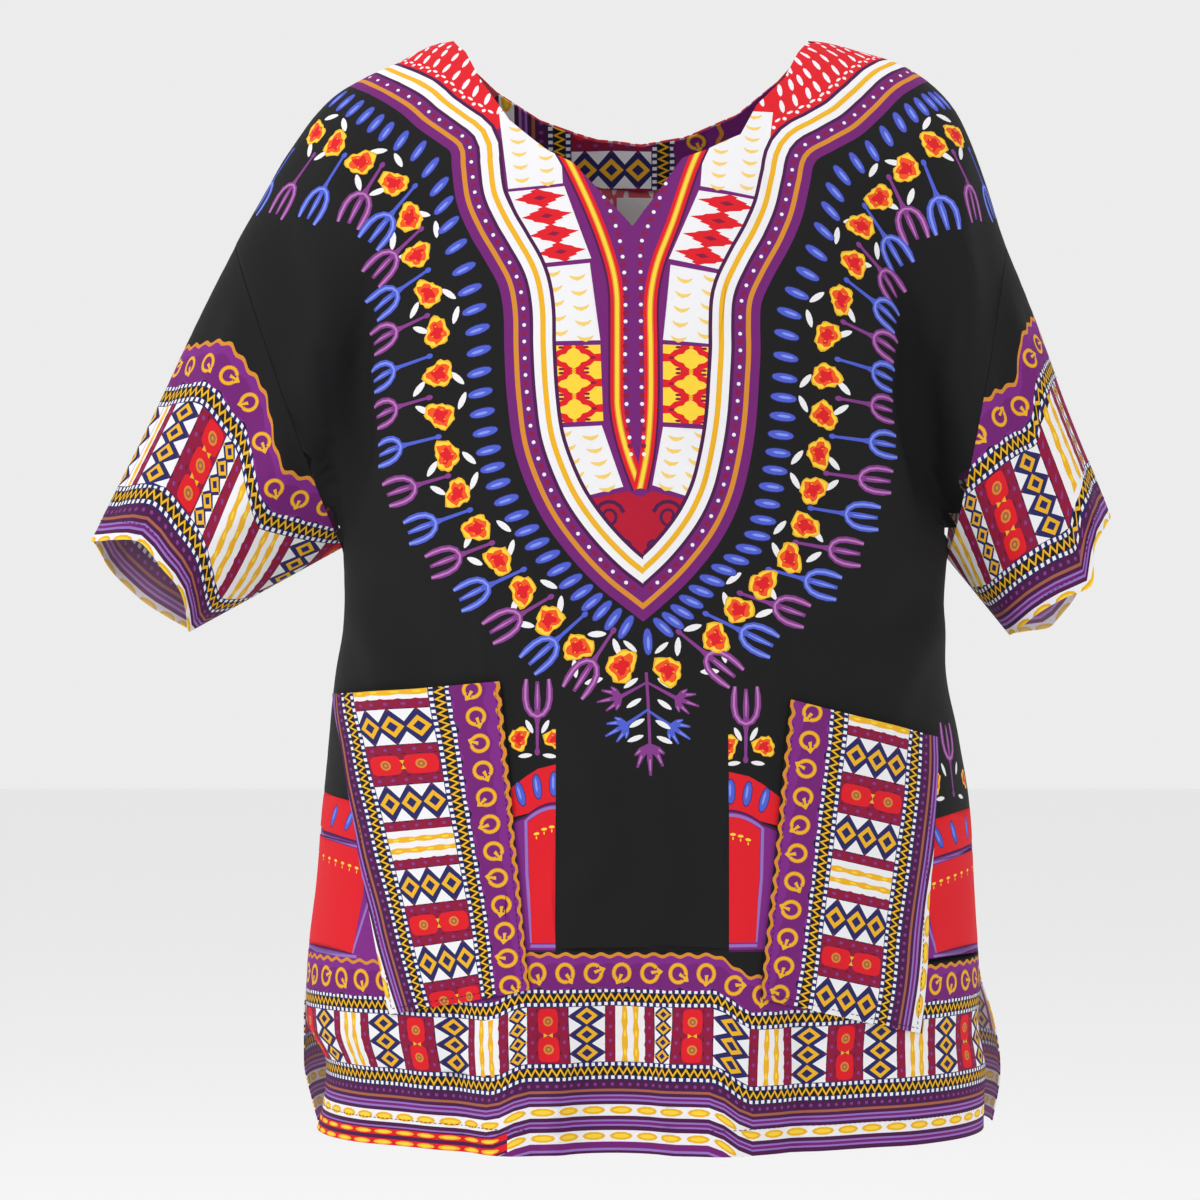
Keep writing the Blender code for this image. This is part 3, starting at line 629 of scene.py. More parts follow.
class Print:
    """The shapes dyed on one piece of flat cloth. Later shapes lie over earlier ones."""

    def __init__(self):
        self.dyes = []
        self.loops = []

    def dye(self, name, loop):
        """One closed shape in one dye, turned so that its outline runs to the left."""
        loop = np.asarray(loop, float)
        x, y = loop[:, 0], loop[:, 1]
        area = np.sum(x * np.roll(y, -1) - np.roll(x, -1) * y)
        if abs(area) > 1e-4:
            self.dyes.append(name)
            self.loops.append(loop if area > 0 else loop[::-1])


def axes_at(origin, ahead, size=1.0):
    """A way to place drawings: at(a, b) lies a ahead of the origin and b to its left."""
    origin = np.asarray(origin, float)
    ahead = np.asarray(ahead, float)
    ahead = ahead / np.linalg.norm(ahead) * size
    left = np.array([-ahead[1], ahead[0]])
    return lambda a, b: origin + ahead * a + left * b


def placed(at, points):
    return [at(a, b) for a, b in points]


def oval(length, width, count=10, sharp=1.0):
    """An oval outline along a. A sharpness over 1 gives pointed ends, as a leaf has."""
    angles = [2 * math.pi * k / count for k in range(count)]
    return [(length / 2 * math.cos(t), width / 2 * math.copysign(abs(math.sin(t)) ** sharp, math.sin(t)))
            for t in angles]


def drawn_line(points, widths):
    """The outline of a brush line through the points, with its width at each of them."""
    points = np.asarray(points, float)
    widths = np.broadcast_to(np.asarray(widths, float), (len(points),))
    run = np.gradient(points, axis=0)
    run = run / np.clip(np.linalg.norm(run, axis=1, keepdims=True), 1e-9, None)
    side = np.stack([-run[:, 1], run[:, 0]], axis=1) * (widths / 2)[:, None]
    return np.concatenate([points + side, (points - side)[::-1]])


def shifted(loop, a, b):
    return [(p + a, q + b) for p, q in loop]


TINE = [(2.45, 0.74), (1.8, 0.80), (1.15, 0.80), (0.58, 0.68), (0.18, 0.40), (0.0, 0.0)]


def trident(ink, at, dye, core, stem):
    """A three-tined figure, its tines pointing ahead and its stem behind."""
    both = TINE + [(a, -b) for a, b in TINE[-2::-1]]
    ink.dye(dye, placed(at, drawn_line(both, [0.24, 0.42, 0.44, 0.42, 0.40, 0.40, 0.40, 0.42, 0.44, 0.42,
                                              0.24])))
    middle = [(0.05, 0.0), (1.1, 0.0), (2.3, 0.02)]
    ink.dye(dye, placed(at, drawn_line(middle, [0.34, 0.42, 0.22])))
    ink.dye(dye, placed(at, drawn_line([(0.1, 0.0), (-0.5, 0.0), (-stem, 0.0)], [0.5, 0.24, 0.18])))
    ink.dye(dye, placed(at, shifted(oval(0.5, 0.36, 8), -stem - 0.1, 0.0)))
    for line in (both[:6], both[5:]):
        ink.dye(core, placed(at, drawn_line(line, 0.14)))
    ink.dye(core, placed(at, drawn_line([(0.5, 0.0), (1.4, 0.0), (2.1, 0.0)], [0.05, 0.12, 0.05])))


def flower(ink, at, size, turn):
    """An orange bloom with a wavering yellow edge and a ragged red heart."""
    def ragged(radius, lobes, depth_of, count, twist):
        loop = []
        for k in range(count):
            t = 2 * math.pi * k / count
            wave = depth_of * math.sin(lobes * t + twist) + 0.5 * depth_of * math.sin((lobes * 2 + 1) * t)
            r = radius * (1 + wave)
            r *= 1 - 0.22 * math.cos(t + turn) ** 2 + 0.10 * math.cos(3 * t + 1.7 * turn)
            loop.append((r * math.cos(t), r * math.sin(t)))
        return loop
    ink.dye("gold", placed(at, ragged(size, 7, 0.07, 26, turn)))
    ink.dye("yellow", placed(at, ragged(size * 0.9, 7, 0.06, 22, turn)))
    ink.dye("ember", placed(at, ragged(size * 0.74, 5, 0.15, 20, turn * 2)))
    ink.dye("red", placed(at, ragged(size * 0.48, 4, 0.24, 14, turn * 3)))
    for k in range(3):
        t = turn + k * 2.1
        speck = shifted(oval(0.16, 0.09, 6), size * 0.38 * math.cos(t), size * 0.38 * math.sin(t))
        ink.dye("gold", placed(at, speck))


def leaf(ink, at, length=1.35, width=0.42):
    ink.dye("white", placed(at, oval(length, width, 12, 1.35)))


def petal(ink, at):
    """A blue petal, darker at its edge."""
    ink.dye("navy", placed(at, oval(1.86, 0.70, 12, 0.9)))
    ink.dye("blue", placed(at, oval(1.74, 0.58, 12, 0.9)))
    ink.dye("sky", placed(at, shifted(oval(1.0, 0.20, 6), 0.1, 0.03)))


def palm(ink, at, dye, core):
    """A small hand of five fingers ahead of a wrist."""
    for angle, length in ((-1.15, 0.85), (-0.6, 1.2), (0.0, 1.45), (0.6, 1.2), (1.15, 0.85)):
        tip = (length * math.cos(angle) + 0.1, length * math.sin(angle))
        bend = (tip[0] * 0.45, tip[1] * 0.62)
        ink.dye(dye, placed(at, drawn_line([(0.0, 0.0), bend, tip], [0.3, 0.28, 0.12])))
        ink.dye(core, placed(at, drawn_line([bend, tuple(between(bend, tip, 0.7))], [0.09, 0.05])))


def ring_places(cloth, rows, count, lead):
    """Inner and outer flat places of each figure of the ring, evenly along it."""
    table = np.array(rows)
    inner = cloth.seen(table[:, :2])
    outer = cloth.seen(table[:, 2:])
    middle = (inner + outer) / 2
    run = np.concatenate([[0], np.cumsum(np.linalg.norm(np.diff(middle, axis=0), axis=1))])
    at = (np.arange(count) + lead) / count * run[-1]
    found = [np.stack([smooth(at, run, line[:, k]) for k in range(2)], axis=1) for line in (inner, outer)]
    return found[0], found[1], run[-1] / count


# White leaves about a purple stem: along and across from the ring's middle, and how they lean.
RING_LEAVES = [(-1.45, 0.78, 0.95), (-1.45, -0.78, -0.95), (1.2, 0.74, -0.7), (1.2, -0.74, 0.7)]


def ring(ink, cloth, rows, count):
    """Petals, flowers with leaves, and tridents by turns purple and blue, fanned round the shield."""
    inner, outer, pitch = ring_places(cloth, rows, count, 0.5)
    for near, far in zip(inner[1::2], outer[1::2]):
        size = min(1.0, max(0.72, pitch / 2.1))
        run = (far - near) / np.linalg.norm(far - near)
        at = axes_at(near + run * 2.85, run, size)
        for a, b, lean in RING_LEAVES:
            spot = at(a, b)
            leaf(ink, axes_at(spot, at(a + math.cos(lean), b + math.sin(lean)) - spot), 1.25 * size,
                 0.42 * size)
    for k, (near, far) in enumerate(zip(inner, outer)):
        length = np.linalg.norm(far - near)
        size = min(1.0, max(0.72, pitch / 2.1))
        purple = k % 2 == 1
        at = axes_at(far - (far - near) / length * 2.55 * size, far - near, size)
        if purple:
            trident(ink, at, "mauve", "pink", 2.3)
        else:
            trident(ink, at, "blue", "sky", 2.5)
    inner, outer, _ = ring_places(cloth, rows, count, 1.0)
    for k, (near, far) in enumerate(zip(inner[:-1], outer[:-1])):
        run = (far - near) / np.linalg.norm(far - near)
        spot = near + run * 2.85
        flower(ink, axes_at(spot, run), 1.05 * min(1.0, pitch / 2.1), 0.9 * k + 0.4)
    inner, outer, _ = ring_places(cloth, rows, round(count * 2.1), 0.5)
    for near, far in zip(inner, outer):
        petal(ink, axes_at(near, far - near))


def ring_of_gold(ink, at, turn):
    """A gold ring with a small dart across its rim."""
    count = 16
    gap = 0.42
    angles = [turn + gap + (2 * math.pi - 2 * gap) * k / (count - 1) for k in range(count)]
    ink.dye("orange", placed(at, drawn_line([(0.52 * math.cos(t), 0.58 * math.sin(t)) for t in angles],
                                            0.27)))
    ink.dye("gold", placed(at, drawn_line([(0.52 * math.cos(t), 0.58 * math.sin(t)) for t in angles],
                                          0.17)))
    c, s = math.cos(turn), math.sin(turn)
    dart = [(0.86, -0.08), (0.50, 0.34), (0.50, 0.06), (0.08, 0.14), (0.10, -0.10), (0.50, -0.08),
            (0.46, -0.36)]
    ink.dye("gold", placed(at, [(a * c - b * s, a * s + b * c) for a, b in dart]))


# ---------------------------------------------------------------- the border print

class Border:
    """The border print along an edge. place(l, w) is the flat place l along it and w in from it."""

    def __init__(self, ink, place, first, last, low=-9.0):
        self.ink = ink
        self.place = place
        self.first = first
        self.last = last
        self.low = low

    def strip(self, dye, low, high, first=None, last=None, step=1.0, wave=0.0, period=1.0):
        """A strip between two distances from the edge, with wavering sides if a wave is given."""
        first = self.first if first is None else first
        last = self.last if last is None else last
        low = max(low, self.low)
        if high <= low or last <= first:
            return
        if wave:
            step = period / 6
        along = np.linspace(first, last, max(2, math.ceil((last - first) / step) + 1))
        lift = wave * np.sin(2 * np.pi * along / period)
        up = [self.place(a, high + b) for a, b in zip(along, lift)]
        down = [self.place(a, low - b) for a, b in zip(along, lift)]
        self.ink.dye(dye, up + down[::-1])

    def row(self, dye, at_height, pitch, length, width, first=None, last=None, lean=0.0, count=4):
        """A row of small marks along the edge."""
        first = self.first if first is None else first
        last = self.last if last is None else last
        if at_height < self.low:
            return
        for k in range(int((last - first) / pitch)):
            centre = first + (k + 0.5) * pitch
            if count == 4:
                loop = [(-length / 2, -width / 2 - lean * length / 2),
                        (length / 2, -width / 2 + lean * length / 2),
                        (length / 2, width / 2 + lean * length / 2), (-length / 2, width / 2 - lean * length / 2)]
            else:
                loop = oval(length, width, count)
            self.ink.dye(dye, [self.place(centre + a, at_height + b) for a, b in loop])

    def dashes(self, low, high, ground="white"):
        """Yellow dashes that run into one another on a light ground."""
        self.strip(ground, low, high)
        middle = (low + high) / 2
        self.row("gold", middle, 1.75, 1.5, (high - low) * 0.72, count=10)
        self.row("yellow", middle, 1.75, 1.05, (high - low) * 0.36, count=8)

    def beads(self, low, first=None, last=None):
        """A yellow zigzag on black between two rows of white beads on navy."""
        first = self.first if first is None else first
        last = self.last if last is None else last
        self.strip("navy", low, low + BEADS_WIDTH, first, last)
        self.strip("black", low + 0.33, low + BEADS_WIDTH - 0.33, first, last)
        for height in (low + 0.16, low + BEADS_WIDTH - 0.16):
            self.row("white", height, 0.42, 0.22, 0.22, first, last)
        pitch = 0.5
        count = int((last - first) / pitch * 2)
        high, foot = low + BEADS_WIDTH - 0.38, low + 0.38
        line = [(first + k * pitch / 2, high if k % 2 else foot) for k in range(count + 1)]
        for begin in range(0, len(line) - 1, 24):
            piece = line[begin:begin + 25]
            if len(piece) > 1:
                thick = [(a, b + 0.11) for a, b in piece] + [(a, b - 0.11) for a, b in piece[::-1]]
                self.ink.dye("gold", [self.place(a, b) for a, b in thick])

    def column(self, kind, first, last, low, high):
        """One column of the border's figured row."""
        put = self.place
        ink = self.ink
        width = last - first
        middle = (first + last) / 2
        tall = high - low

        def shape(dye, loop):
            ink.dye(dye, [put(a, b) for a, b in loop])

        def box(dye, a0, a1, b0, b1):
            steps = max(1, round((b1 - b0) / 1.2))
            right = [(a1, b0 + (b1 - b0) * k / steps) for k in range(steps + 1)]
            left = [(a0, b1 - (b1 - b0) * k / steps) for k in range(steps + 1)]
            shape(dye, right + left)

        if kind == "m":
            count = round(tall / 0.85)
            edge = []
            for k in range(count * 4 + 1):
                b = low + tall * k / (count * 4)
                edge.append((0.06 * math.sin(k * math.pi / 2), b))
            shape("maroon", [(last + a, b) for a, b in edge] + [(first - a, b) for a, b in edge[::-1]])
            for k in range(count):
                b = low + tall * (k + 0.5) / count
                shape("mauve", shifted(oval(0.22, 0.26, 6), middle, b))
        elif kind in ("D", "d"):
            big = kind == "D"
            count = max(2, round(tall / (1.3 if big else 1.0)))
            pitch = tall / count
            half = width * (0.30 if big else 0.36)
            box("navy", first, last, low, high)
            for k in range(count + 1):
                b = low + pitch * k
                reach = pitch * 0.45
                for edge, sign in ((first, 1), (last, -1)):
                    tip = edge + sign * width * 0.36
                    loop = [(edge + sign * 0.04, max(b - reach, low)), (tip, b),
                            (edge + sign * 0.04, min(b + reach, high))]
                    shape("white", loop)
            for k in range(count):
                b = low + pitch * (k + 0.5)
                loop = [(middle - half, b), (middle, b - pitch * 0.46), (middle + half, b),
                        (middle, b + pitch * 0.46)]
                shape("gold", loop)
                core = 0.5
                shape("navy", [(middle + (a - middle) * core, b + (c - b) * core) for a, c in loop])
                for sign in (-1, 1):
                    tip = middle + sign * width * 0.47
                    shape("maroon" if big else "gold", [(tip, b - 0.10), (tip - sign * 0.14, b),
                                                        (tip, b + 0.10)])
        elif kind in ("Y", "y"):
            box("white", first, last, low, high)
            lines = (0.31, 0.69) if kind == "Y" else (0.5,)
            for share in lines:
                a = first + width * share
                steps = max(6, round(tall / 0.5))
                wide = 0.17 if kind == "Y" else 0.2
                right = [(a + wide + 0.05 * math.sin(k * 2.1 + share * 9),
                          low + tall * k / steps) for k in range(steps + 1)]
                left = [(a - wide - 0.05 * math.sin(k * 2.3 + share * 7),
                         low + tall * k / steps) for k in range(steps + 1)]
                shape("gold", right + left[::-1])
                for k in range(steps // 2):
                    b = low + tall * (k + 0.5) / (steps // 2)
                    shape("yellow", shifted(oval(0.16, 0.5, 6), a, b))
        elif kind == "R":
            count = max(2, round(tall / 1.8))
            pitch = tall / count
            box("maroon", first, last, low, high)
            for k in range(count):
                b = low + pitch * (k + 0.5)
                loop = []
                for j in range(12):
                    t = 2 * math.pi * j / 12
                    loop.append((middle + width * 0.47 * math.copysign(abs(math.cos(t)) ** 0.5,
                                                                       math.cos(t)),
                                 b + pitch * 0.46 * math.copysign(abs(math.sin(t)) ** 0.45, math.sin(t))))
                shape("red", loop)
                shape("orange", shifted(oval(0.66, 0.66, 10), middle, b))
                shape("brown", shifted(oval(0.44, 0.44, 8), middle, b))
                shape("orange", shifted(oval(0.2, 0.2, 6), middle, b))
                if k:
                    joint = b - pitch / 2
                    shape("gold", [(middle - 0.3, joint + 0.14), (middle, joint),
                                   (middle - 0.3, joint - 0.14)])
                    shape("gold", [(middle + 0.3, joint - 0.14), (middle, joint),
                                   (middle + 0.3, joint + 0.14)])

    def columns(self, order, start, low, high):
        """The figured row: columns in the given order, from the given place along the edge."""
        at = start
        for kind in order:
            width = COLUMNS[kind]
            if at + width > self.first and at < self.last:
                self.column(kind, at, at + width, low, high)
            at += width

    def rings(self, low, first=None, last=None, pitch=1.85, scallop=True, turn=-0.6):
        """The purple band of gold rings, ending in a scalloped orange line."""
        first = self.first if first is None else first
        last = self.last if last is None else last
        high = low + RINGS_WIDTH
        if scallop:
            self.strip("orange", low, high + 0.12, first, last, wave=0.10, period=1.15)
            self.strip("violet", low, high - 0.1, first, last, wave=0.10, period=1.15)
        else:
            self.strip("violet", low, high, first, last)
        self.strip("purple", low, low + RINGS_WIDTH * 0.72, first, last, wave=0.12, period=pitch)
        count = int((last - first) / pitch)
        spare = (last - first - count * pitch) / 2
        for k in range(count):
            centre = first + spare + (k + 0.5) * pitch
            spot = self.place(centre, low + RINGS_WIDTH * 0.47)
            ahead = self.place(centre + 0.5, low + RINGS_WIDTH * 0.47) - spot
            ring_of_gold(self.ink, axes_at(spot, ahead), turn + 1.3 * math.sin(k * 2.4))

    def whole(self, order, start, column_height):
        """Stripes, beads, figured row, beads and rings, from the edge inwards."""
        for low, high, dye in BORDER_STRIPES:
            if dye == "white":
                if high > self.low:
                    self.dashes(max(low, self.low), high)
            else:
                self.strip(dye, low, high)
        self.row("mauve", 4.52, 0.55, 0.24, 0.24, count=6)
        self.beads(BEADS_FOOT)
        top = COLUMN_FOOT + column_height
        self.columns(order, start, COLUMN_FOOT, top)
        self.beads(top)
        self.rings(top + BEADS_WIDTH)
        return top + BEADS_WIDTH + RINGS_WIDTH


# ---------------------------------------------------------------- the shield round the neck

class Shield:
    """The shield's outer edge on the flat cloth, in two halves that meet on a plumb line at the tip."""

    def __init__(self, cloth, right, tip, left):
        self.axis = cloth.seen([tip])[0][0]
        self.halves = []
        for places, side in ((right + [tip], -1), ([tip] + left, 1)):
            line = cloth.seen(places)
            if side == 1:
                line = line[::-1]
            ahead = line[0] + (line[0] - line[1]) / np.linalg.norm(line[0] - line[1]) * 3.0
            line = eased_line(np.concatenate([[ahead], line]), 0.35)
            run = np.gradient(line, axis=0)
            run /= np.linalg.norm(run, axis=1, keepdims=True)
            inward = np.stack([-run[:, 1], run[:, 0]], axis=1) * -side
            self.halves.append((side, line, inward))

    def line(self, half, inset):
        """One half's line at a distance inwards from the edge, from the shoulder to the axis."""
        side, line, inward = self.halves[half]
        moved = line + inward * inset
        over = (moved[:, 0] - self.axis) * side
        stop = np.argmax(over <= 0) if np.any(over <= 0) else len(moved)
        kept = moved[:stop]
        if stop < len(moved):
            a, b = moved[stop - 1], moved[stop]
            last = between(a, b, (self.axis - a[0]) / (b[0] - a[0]))
        else:
            a, b = moved[-2], moved[-1]
            last = b + (b - a) * (self.axis - b[0]) / (b[0] - a[0]) if abs(b[0] - a[0]) > 1e-6 else b
        return np.concatenate([kept, [last]])

    def band(self, ink, dye, start, end):
        for half in range(2):
            ink.dye(dye, np.concatenate([self.line(half, start), self.line(half, end)[::-1]]))

    def dots(self, ink, inset, pitch, skip=0.0):
        """White and maroon dots by turns, along both halves."""
        for half in range(2):
            line = self.line(half, inset)
            run = run_along(line)
            for k in range(int((run[-1] - skip) / pitch)):
                at = (k + 0.5) * pitch
                spot = np.array([np.interp(at, run, line[:, j]) for j in range(2)])
                ahead = np.array([np.interp(at + 0.1, run, line[:, j]) for j in range(2)]) - spot
                dye, size = (("white", 0.27), ("maroon", 0.36))[k % 2]
                ink.dye(dye, placed(axes_at(spot, ahead), oval(size, size, 6)))


def run_along(line):
    """Length along a line up to each of its places."""
    return np.concatenate([[0], np.cumsum(np.linalg.norm(np.diff(line, axis=0), axis=1))])


def in_quad(corners):
    """Places in a four-cornered panel: s from its outer to its inner side, t from its top to its foot."""
    a, b, c, d = (np.asarray(corner, float) for corner in corners)
    return lambda s, t: (a * (1 - s) + b * s) * (1 - t) + (d * (1 - s) + c * s) * t


def lashes(ink, put, width, height):
    """White, with rows of gold crescents."""
    ink.dye("white", [put(0, 0), put(1, 0), put(1, 1), put(0, 1)])
    rows = max(3, round(height / 1.0))
    for row in range(rows):
        for place in (0.27, 0.73):
            t0 = (row + (0.3 if place < 0.5 else 0.7)) / rows
            half = 0.52 / width
            drop = 0.26 / height
            line = [put(place + half * a, t0 + drop * (1 - a * a)) for a in (-1, -0.6, 0, 0.6, 1)]
            ink.dye("straw", drawn_line(line, [0.06, 0.2, 0.28, 0.2, 0.06]))


def zigzags(ink, put, width, height):
    """White, with a pile of toothed red diamonds."""
    ink.dye("white", [put(0, 0), put(1, 0), put(1, 1), put(0, 1)])
    rows = max(3, round(height / 1.28))
    for row in range(rows):
        t0, pitch = (row + 0.5) / rows, 1.0 / rows
        loop = [(0.04, -0.02), (0.22, -0.14), (0.2, -0.2), (0.40, -0.34), (0.38, -0.42), (0.52, -0.52),
                (0.62, -0.36), (0.74, -0.26), (0.78, -0.16), (0.97, 0.0), (0.76, 0.14), (0.78, 0.22),
                (0.60, 0.34), (0.62, 0.42), (0.50, 0.54), (0.40, 0.38), (0.24, 0.26), (0.22, 0.16)]
        ink.dye("red", [put(s, t0 + t * pitch) for s, t in loop])
        core = [(0.38, 0.0), (0.5, -0.13), (0.62, 0.0), (0.5, 0.13)]
        ink.dye("maroon", [put(s, t0 + t * pitch) for s, t in core])


def tiles(ink, put, width, height):
    """Red, with yellow crosses and half flowers along the sides."""
    ink.dye("red", [put(0, 0), put(1, 0), put(1, 1), put(0, 1)])
    rows = max(3, round(height / 1.62))
    pitch = 1.0 / rows
    for row in range(rows + 1):
        t0 = row * pitch
        for s, sign in ((0.0, 1), (1.0, -1)):
            loop = [(0.0, -0.34), (0.12, -0.36), (0.2, -0.2), (0.31, -0.12), (0.31, 0.12), (0.2, 0.2),
                    (0.12, 0.36), (0.0, 0.34)]
            ink.dye("yellow", [put(s + sign * a, min(1.0, max(0.0, t0 + b * pitch))) for a, b in loop])
    for row in range(rows):
        t0 = (row + 0.5) * pitch
        loop = []
        for k in range(16):
            angle = 2 * math.pi * k / 16
            r = 0.25 + 0.06 * math.cos(4 * angle)
            loop.append(put(0.5 + r * math.cos(angle), t0 + 1.35 * r * math.sin(angle) * pitch))
        ink.dye("yellow", loop)
        for a, b in ((0.27, -0.42), (0.73, -0.42), (0.27, 0.42), (0.73, 0.42), (0.15, 0.0), (0.85, 0.0)):
            spot = put(a, t0 + b * pitch)
            ink.dye("maroon", [spot + np.array(p) for p in oval(0.42, 0.2, 6)])
        for b in (-0.45, 0.45):
            ink.dye("gold", [put(0.5, t0 + b * pitch) + np.array(p) for p in oval(0.3, 0.2, 6)])


FIGURES = {"lashes": lashes, "zigzags": zigzags, "tiles": tiles}


def scroll(ink, centre, radius, turns, twist, spin):
    """A maroon spiral line."""
    count = int(14 * turns)
    line = []
    for k in range(count + 1):
        share = k / count
        angle = twist + spin * 2 * math.pi * turns * share
        line.append(centre + radius * (1 - 0.82 * share) * np.array([math.cos(angle), math.sin(angle)]))
    ink.dye("plum", drawn_line(line, np.linspace(0.26, 0.16, len(line))))


def front_shield(ink, cloth):
    """The shield on the front: bands, yokes, figured panels, heart, slit and strips."""
    seen = cloth.seen
    shield = Shield(cloth, SHIELD_RIGHT, SHIELD_TIP, SHIELD_LEFT)
    top = np.array([[16.0, 100.0], [-16.0, 100.0]])
    ink.dye("purple", np.concatenate([shield.line(0, 0.0), shield.line(1, 0.0)[::-1], top]))
    for half, tip, beyond in ((0, (-9.0, -6.7), [(-8.0, -6.2), (-6.0, -4.5), (-8.0, -1.5)]),
                              (1, (8.9, -7.2), [(7.5, -6.9), (6.0, -4.5), (8.0, -1.5)])):
        line = shield.line(half, 3.3)
        stop = np.argmin(np.linalg.norm(line - seen([tip])[0], axis=1))
        corner = line[0] + np.array([12.0 if half == 0 else -12.0, 6.0])
        ink.dye("red", np.concatenate([line[:stop + 1], seen([tip]), seen(beyond), [corner]]))
        yoke_marks(ink, shield, half, line[:stop + 1])
    for figure, corners in PANELS:
        quad = seen(corners)
        width = np.linalg.norm(quad[1] - quad[0])
        height = np.linalg.norm(quad[3] - quad[0])
        FIGURES[figure](ink, in_quad(quad), width, height)
    ink.dye("crimson", seen(HEART))
    for place, radius, turns, twist, spin in (((-1.6, -32.4), 1.05, 1.6, 0.2, 1),
                                              ((2.4, -32.4), 1.05, 1.6, 2.9, -1),
                                              ((-0.5, -34.3), 0.6, 1.3, 2.4, 1), ((1.4, -34.3), 0.6, 1.3,
                                                                                  0.8, -1),
                                              ((0.45, -35.8), 0.42, 1.0, 1.6, 1)):
        scroll(ink, seen([place])[0], radius, turns, twist, spin)
    for low, high, dye in SHIELD_BANDS:
        shield.band(ink, dye, low, high)
    shield.band(ink, "gold", 2.42, 2.78)
    shield.dots(ink, 1.34, 0.56)
    right = eased_line(seen(STRIP_RIGHT), 0.5)
    left = eased_line(seen(STRIP_LEFT), 0.5)
    ink.dye("plum", drawn_line(right, 1.15))
    ink.dye("plum", drawn_line(left, 1.15))
    ink.dye("purple", np.concatenate([right, left[::-1]]))
    for line in (right, left):
        ink.dye("red", drawn_line(line, 0.86))
        ink.dye("orange", drawn_line(line, 0.40))
        ink.dye("yellow", drawn_line(line, 0.24))
    for places in (DOTS_RIGHT, DOTS_LEFT):
        line = eased_line(seen(places), 0.56)
        for k, spot in enumerate(line):
            dye, size = (("white", 0.28), ("maroon", 0.38))[k % 2]
            ink.dye(dye, [spot + np.array(p) for p in oval(size, size, 6)])


DASH_ROWS = {"first": 1.3, "apart": 1.2, "most_in_a_row": 20, "pitch": 1.16, "start": 1.5, "end": 0.1}
DEEP_YOKE_ROWS = 4          # a yoke with more rows is deep, and its rows get shorter one by one
DEEP_YOKE_TAPER = 0.9


def yoke_marks(ink, shield, half, line, rows=4):
    """White dashes across the red yoke, with dots and hooks along its lower edge."""
    side = shield.halves[half][0]
    run = run_along(line)
    for row in range(rows):
        inset = DASH_ROWS["first"] + DASH_ROWS["apart"] * row
        last = run[-1] - DASH_ROWS["end"] - (DEEP_YOKE_TAPER * row if rows > DEEP_YOKE_ROWS else 0.0)
        for k in range(DASH_ROWS["most_in_a_row"]):
            at = (k + 0.5 * (row % 2)) * DASH_ROWS["pitch"] + DASH_ROWS["start"]
            if at > last:
                continue
            spot = np.array([np.interp(at, run, line[:, j]) for j in range(2)])
            ahead = np.array([np.interp(at + 0.1, run, line[:, j]) for j in range(2)]) - spot
            ahead = ahead / np.linalg.norm(ahead)
            into = np.array([-ahead[1], ahead[0]]) * -side
            lean = into * 0.80 - ahead * 0.42
            ink.dye("white", placed(axes_at(spot + into * inset, lean), oval(1.08, 0.36, 8, 1.15)))
    for k in range(int(run[-1] / 1.0)):
        at = (k + 0.5) * 1.0
        spot = np.array([np.interp(at, run, line[:, j]) for j in range(2)])
        ahead = np.array([np.interp(at + 0.1, run, line[:, j]) for j in range(2)]) - spot
        into = np.array([-ahead[1], ahead[0]]) * -side
        into = into / np.linalg.norm(into)
        ink.dye("white", placed(axes_at(spot + into * 0.42, ahead), oval(0.3, 0.3, 6)))
        ink.dye("white", placed(axes_at(spot + into * 0.62 + ahead * 4.6, ahead), oval(0.52, 0.2, 6)))


def pendant(ink, cloth):
    """Flowers, leaves and small hands that hang below the shield's tip."""
    seen = cloth.seen
    spots = seen([(-0.7, -42.2), (2.3, -42.5), (1.0, -40.6), (1.1, -47.4), (0.75, -41.2)])
    down = np.array([0.05, -1.0])
    petal(ink, axes_at(spots[2], down))
    stem = eased_line(seen([(0.9, -42.6), (1.05, -45.0), (1.15, -47.6)]), 1.0)
    ink.dye("mauve", drawn_line(stem, 0.2))
    for (x, z), lean, dye, core in (((-0.8, -44.2), (-1.0, -0.22), "mauve", "pink"),
                                    ((2.9, -44.3), (1.0, -0.35), "mauve", "pink"),
                                    ((-0.4, -46.0), (-0.9, -0.5), "blue", "sky"),
                                    ((2.5, -46.1), (0.9, -0.6), "blue", "sky")):
        spot = seen([(x, z)])[0]
        root = seen([(1.05, z + 1.0)])[0]
        ink.dye(dye, drawn_line([root, between(root, spot, 0.6), spot], [0.14, 0.2, 0.26]))
        palm(ink, axes_at(spot, lean), dye, core)
    palm(ink, axes_at(spots[3], down, 1.25), "mauve", "pink")
    for x, z, lean in ((-0.15, -40.9, -0.7), (1.9, -41.0, 0.7), (-0.1, -43.3, 0.6), (2.1, -43.3, -0.6),
                       (0.1, -44.6, 0.55),
                       (2.1, -44.7, -0.6), (0.3, -45.9, 0.5), (2.0, -46.0, -0.5),
                        (0.2, -46.9, 0.35), (2.1, -47.0, -0.4)):
        leaf(ink, axes_at(seen([(x, z)])[0], (math.cos(lean), math.sin(lean))), 1.15, 0.34)
    flower(ink, axes_at(spots[0], (-1.0, -0.1), 1.0), 1.15, 0.6)
    flower(ink, axes_at(spots[1], (1.0, -0.3), 1.0), 1.05, 2.2)


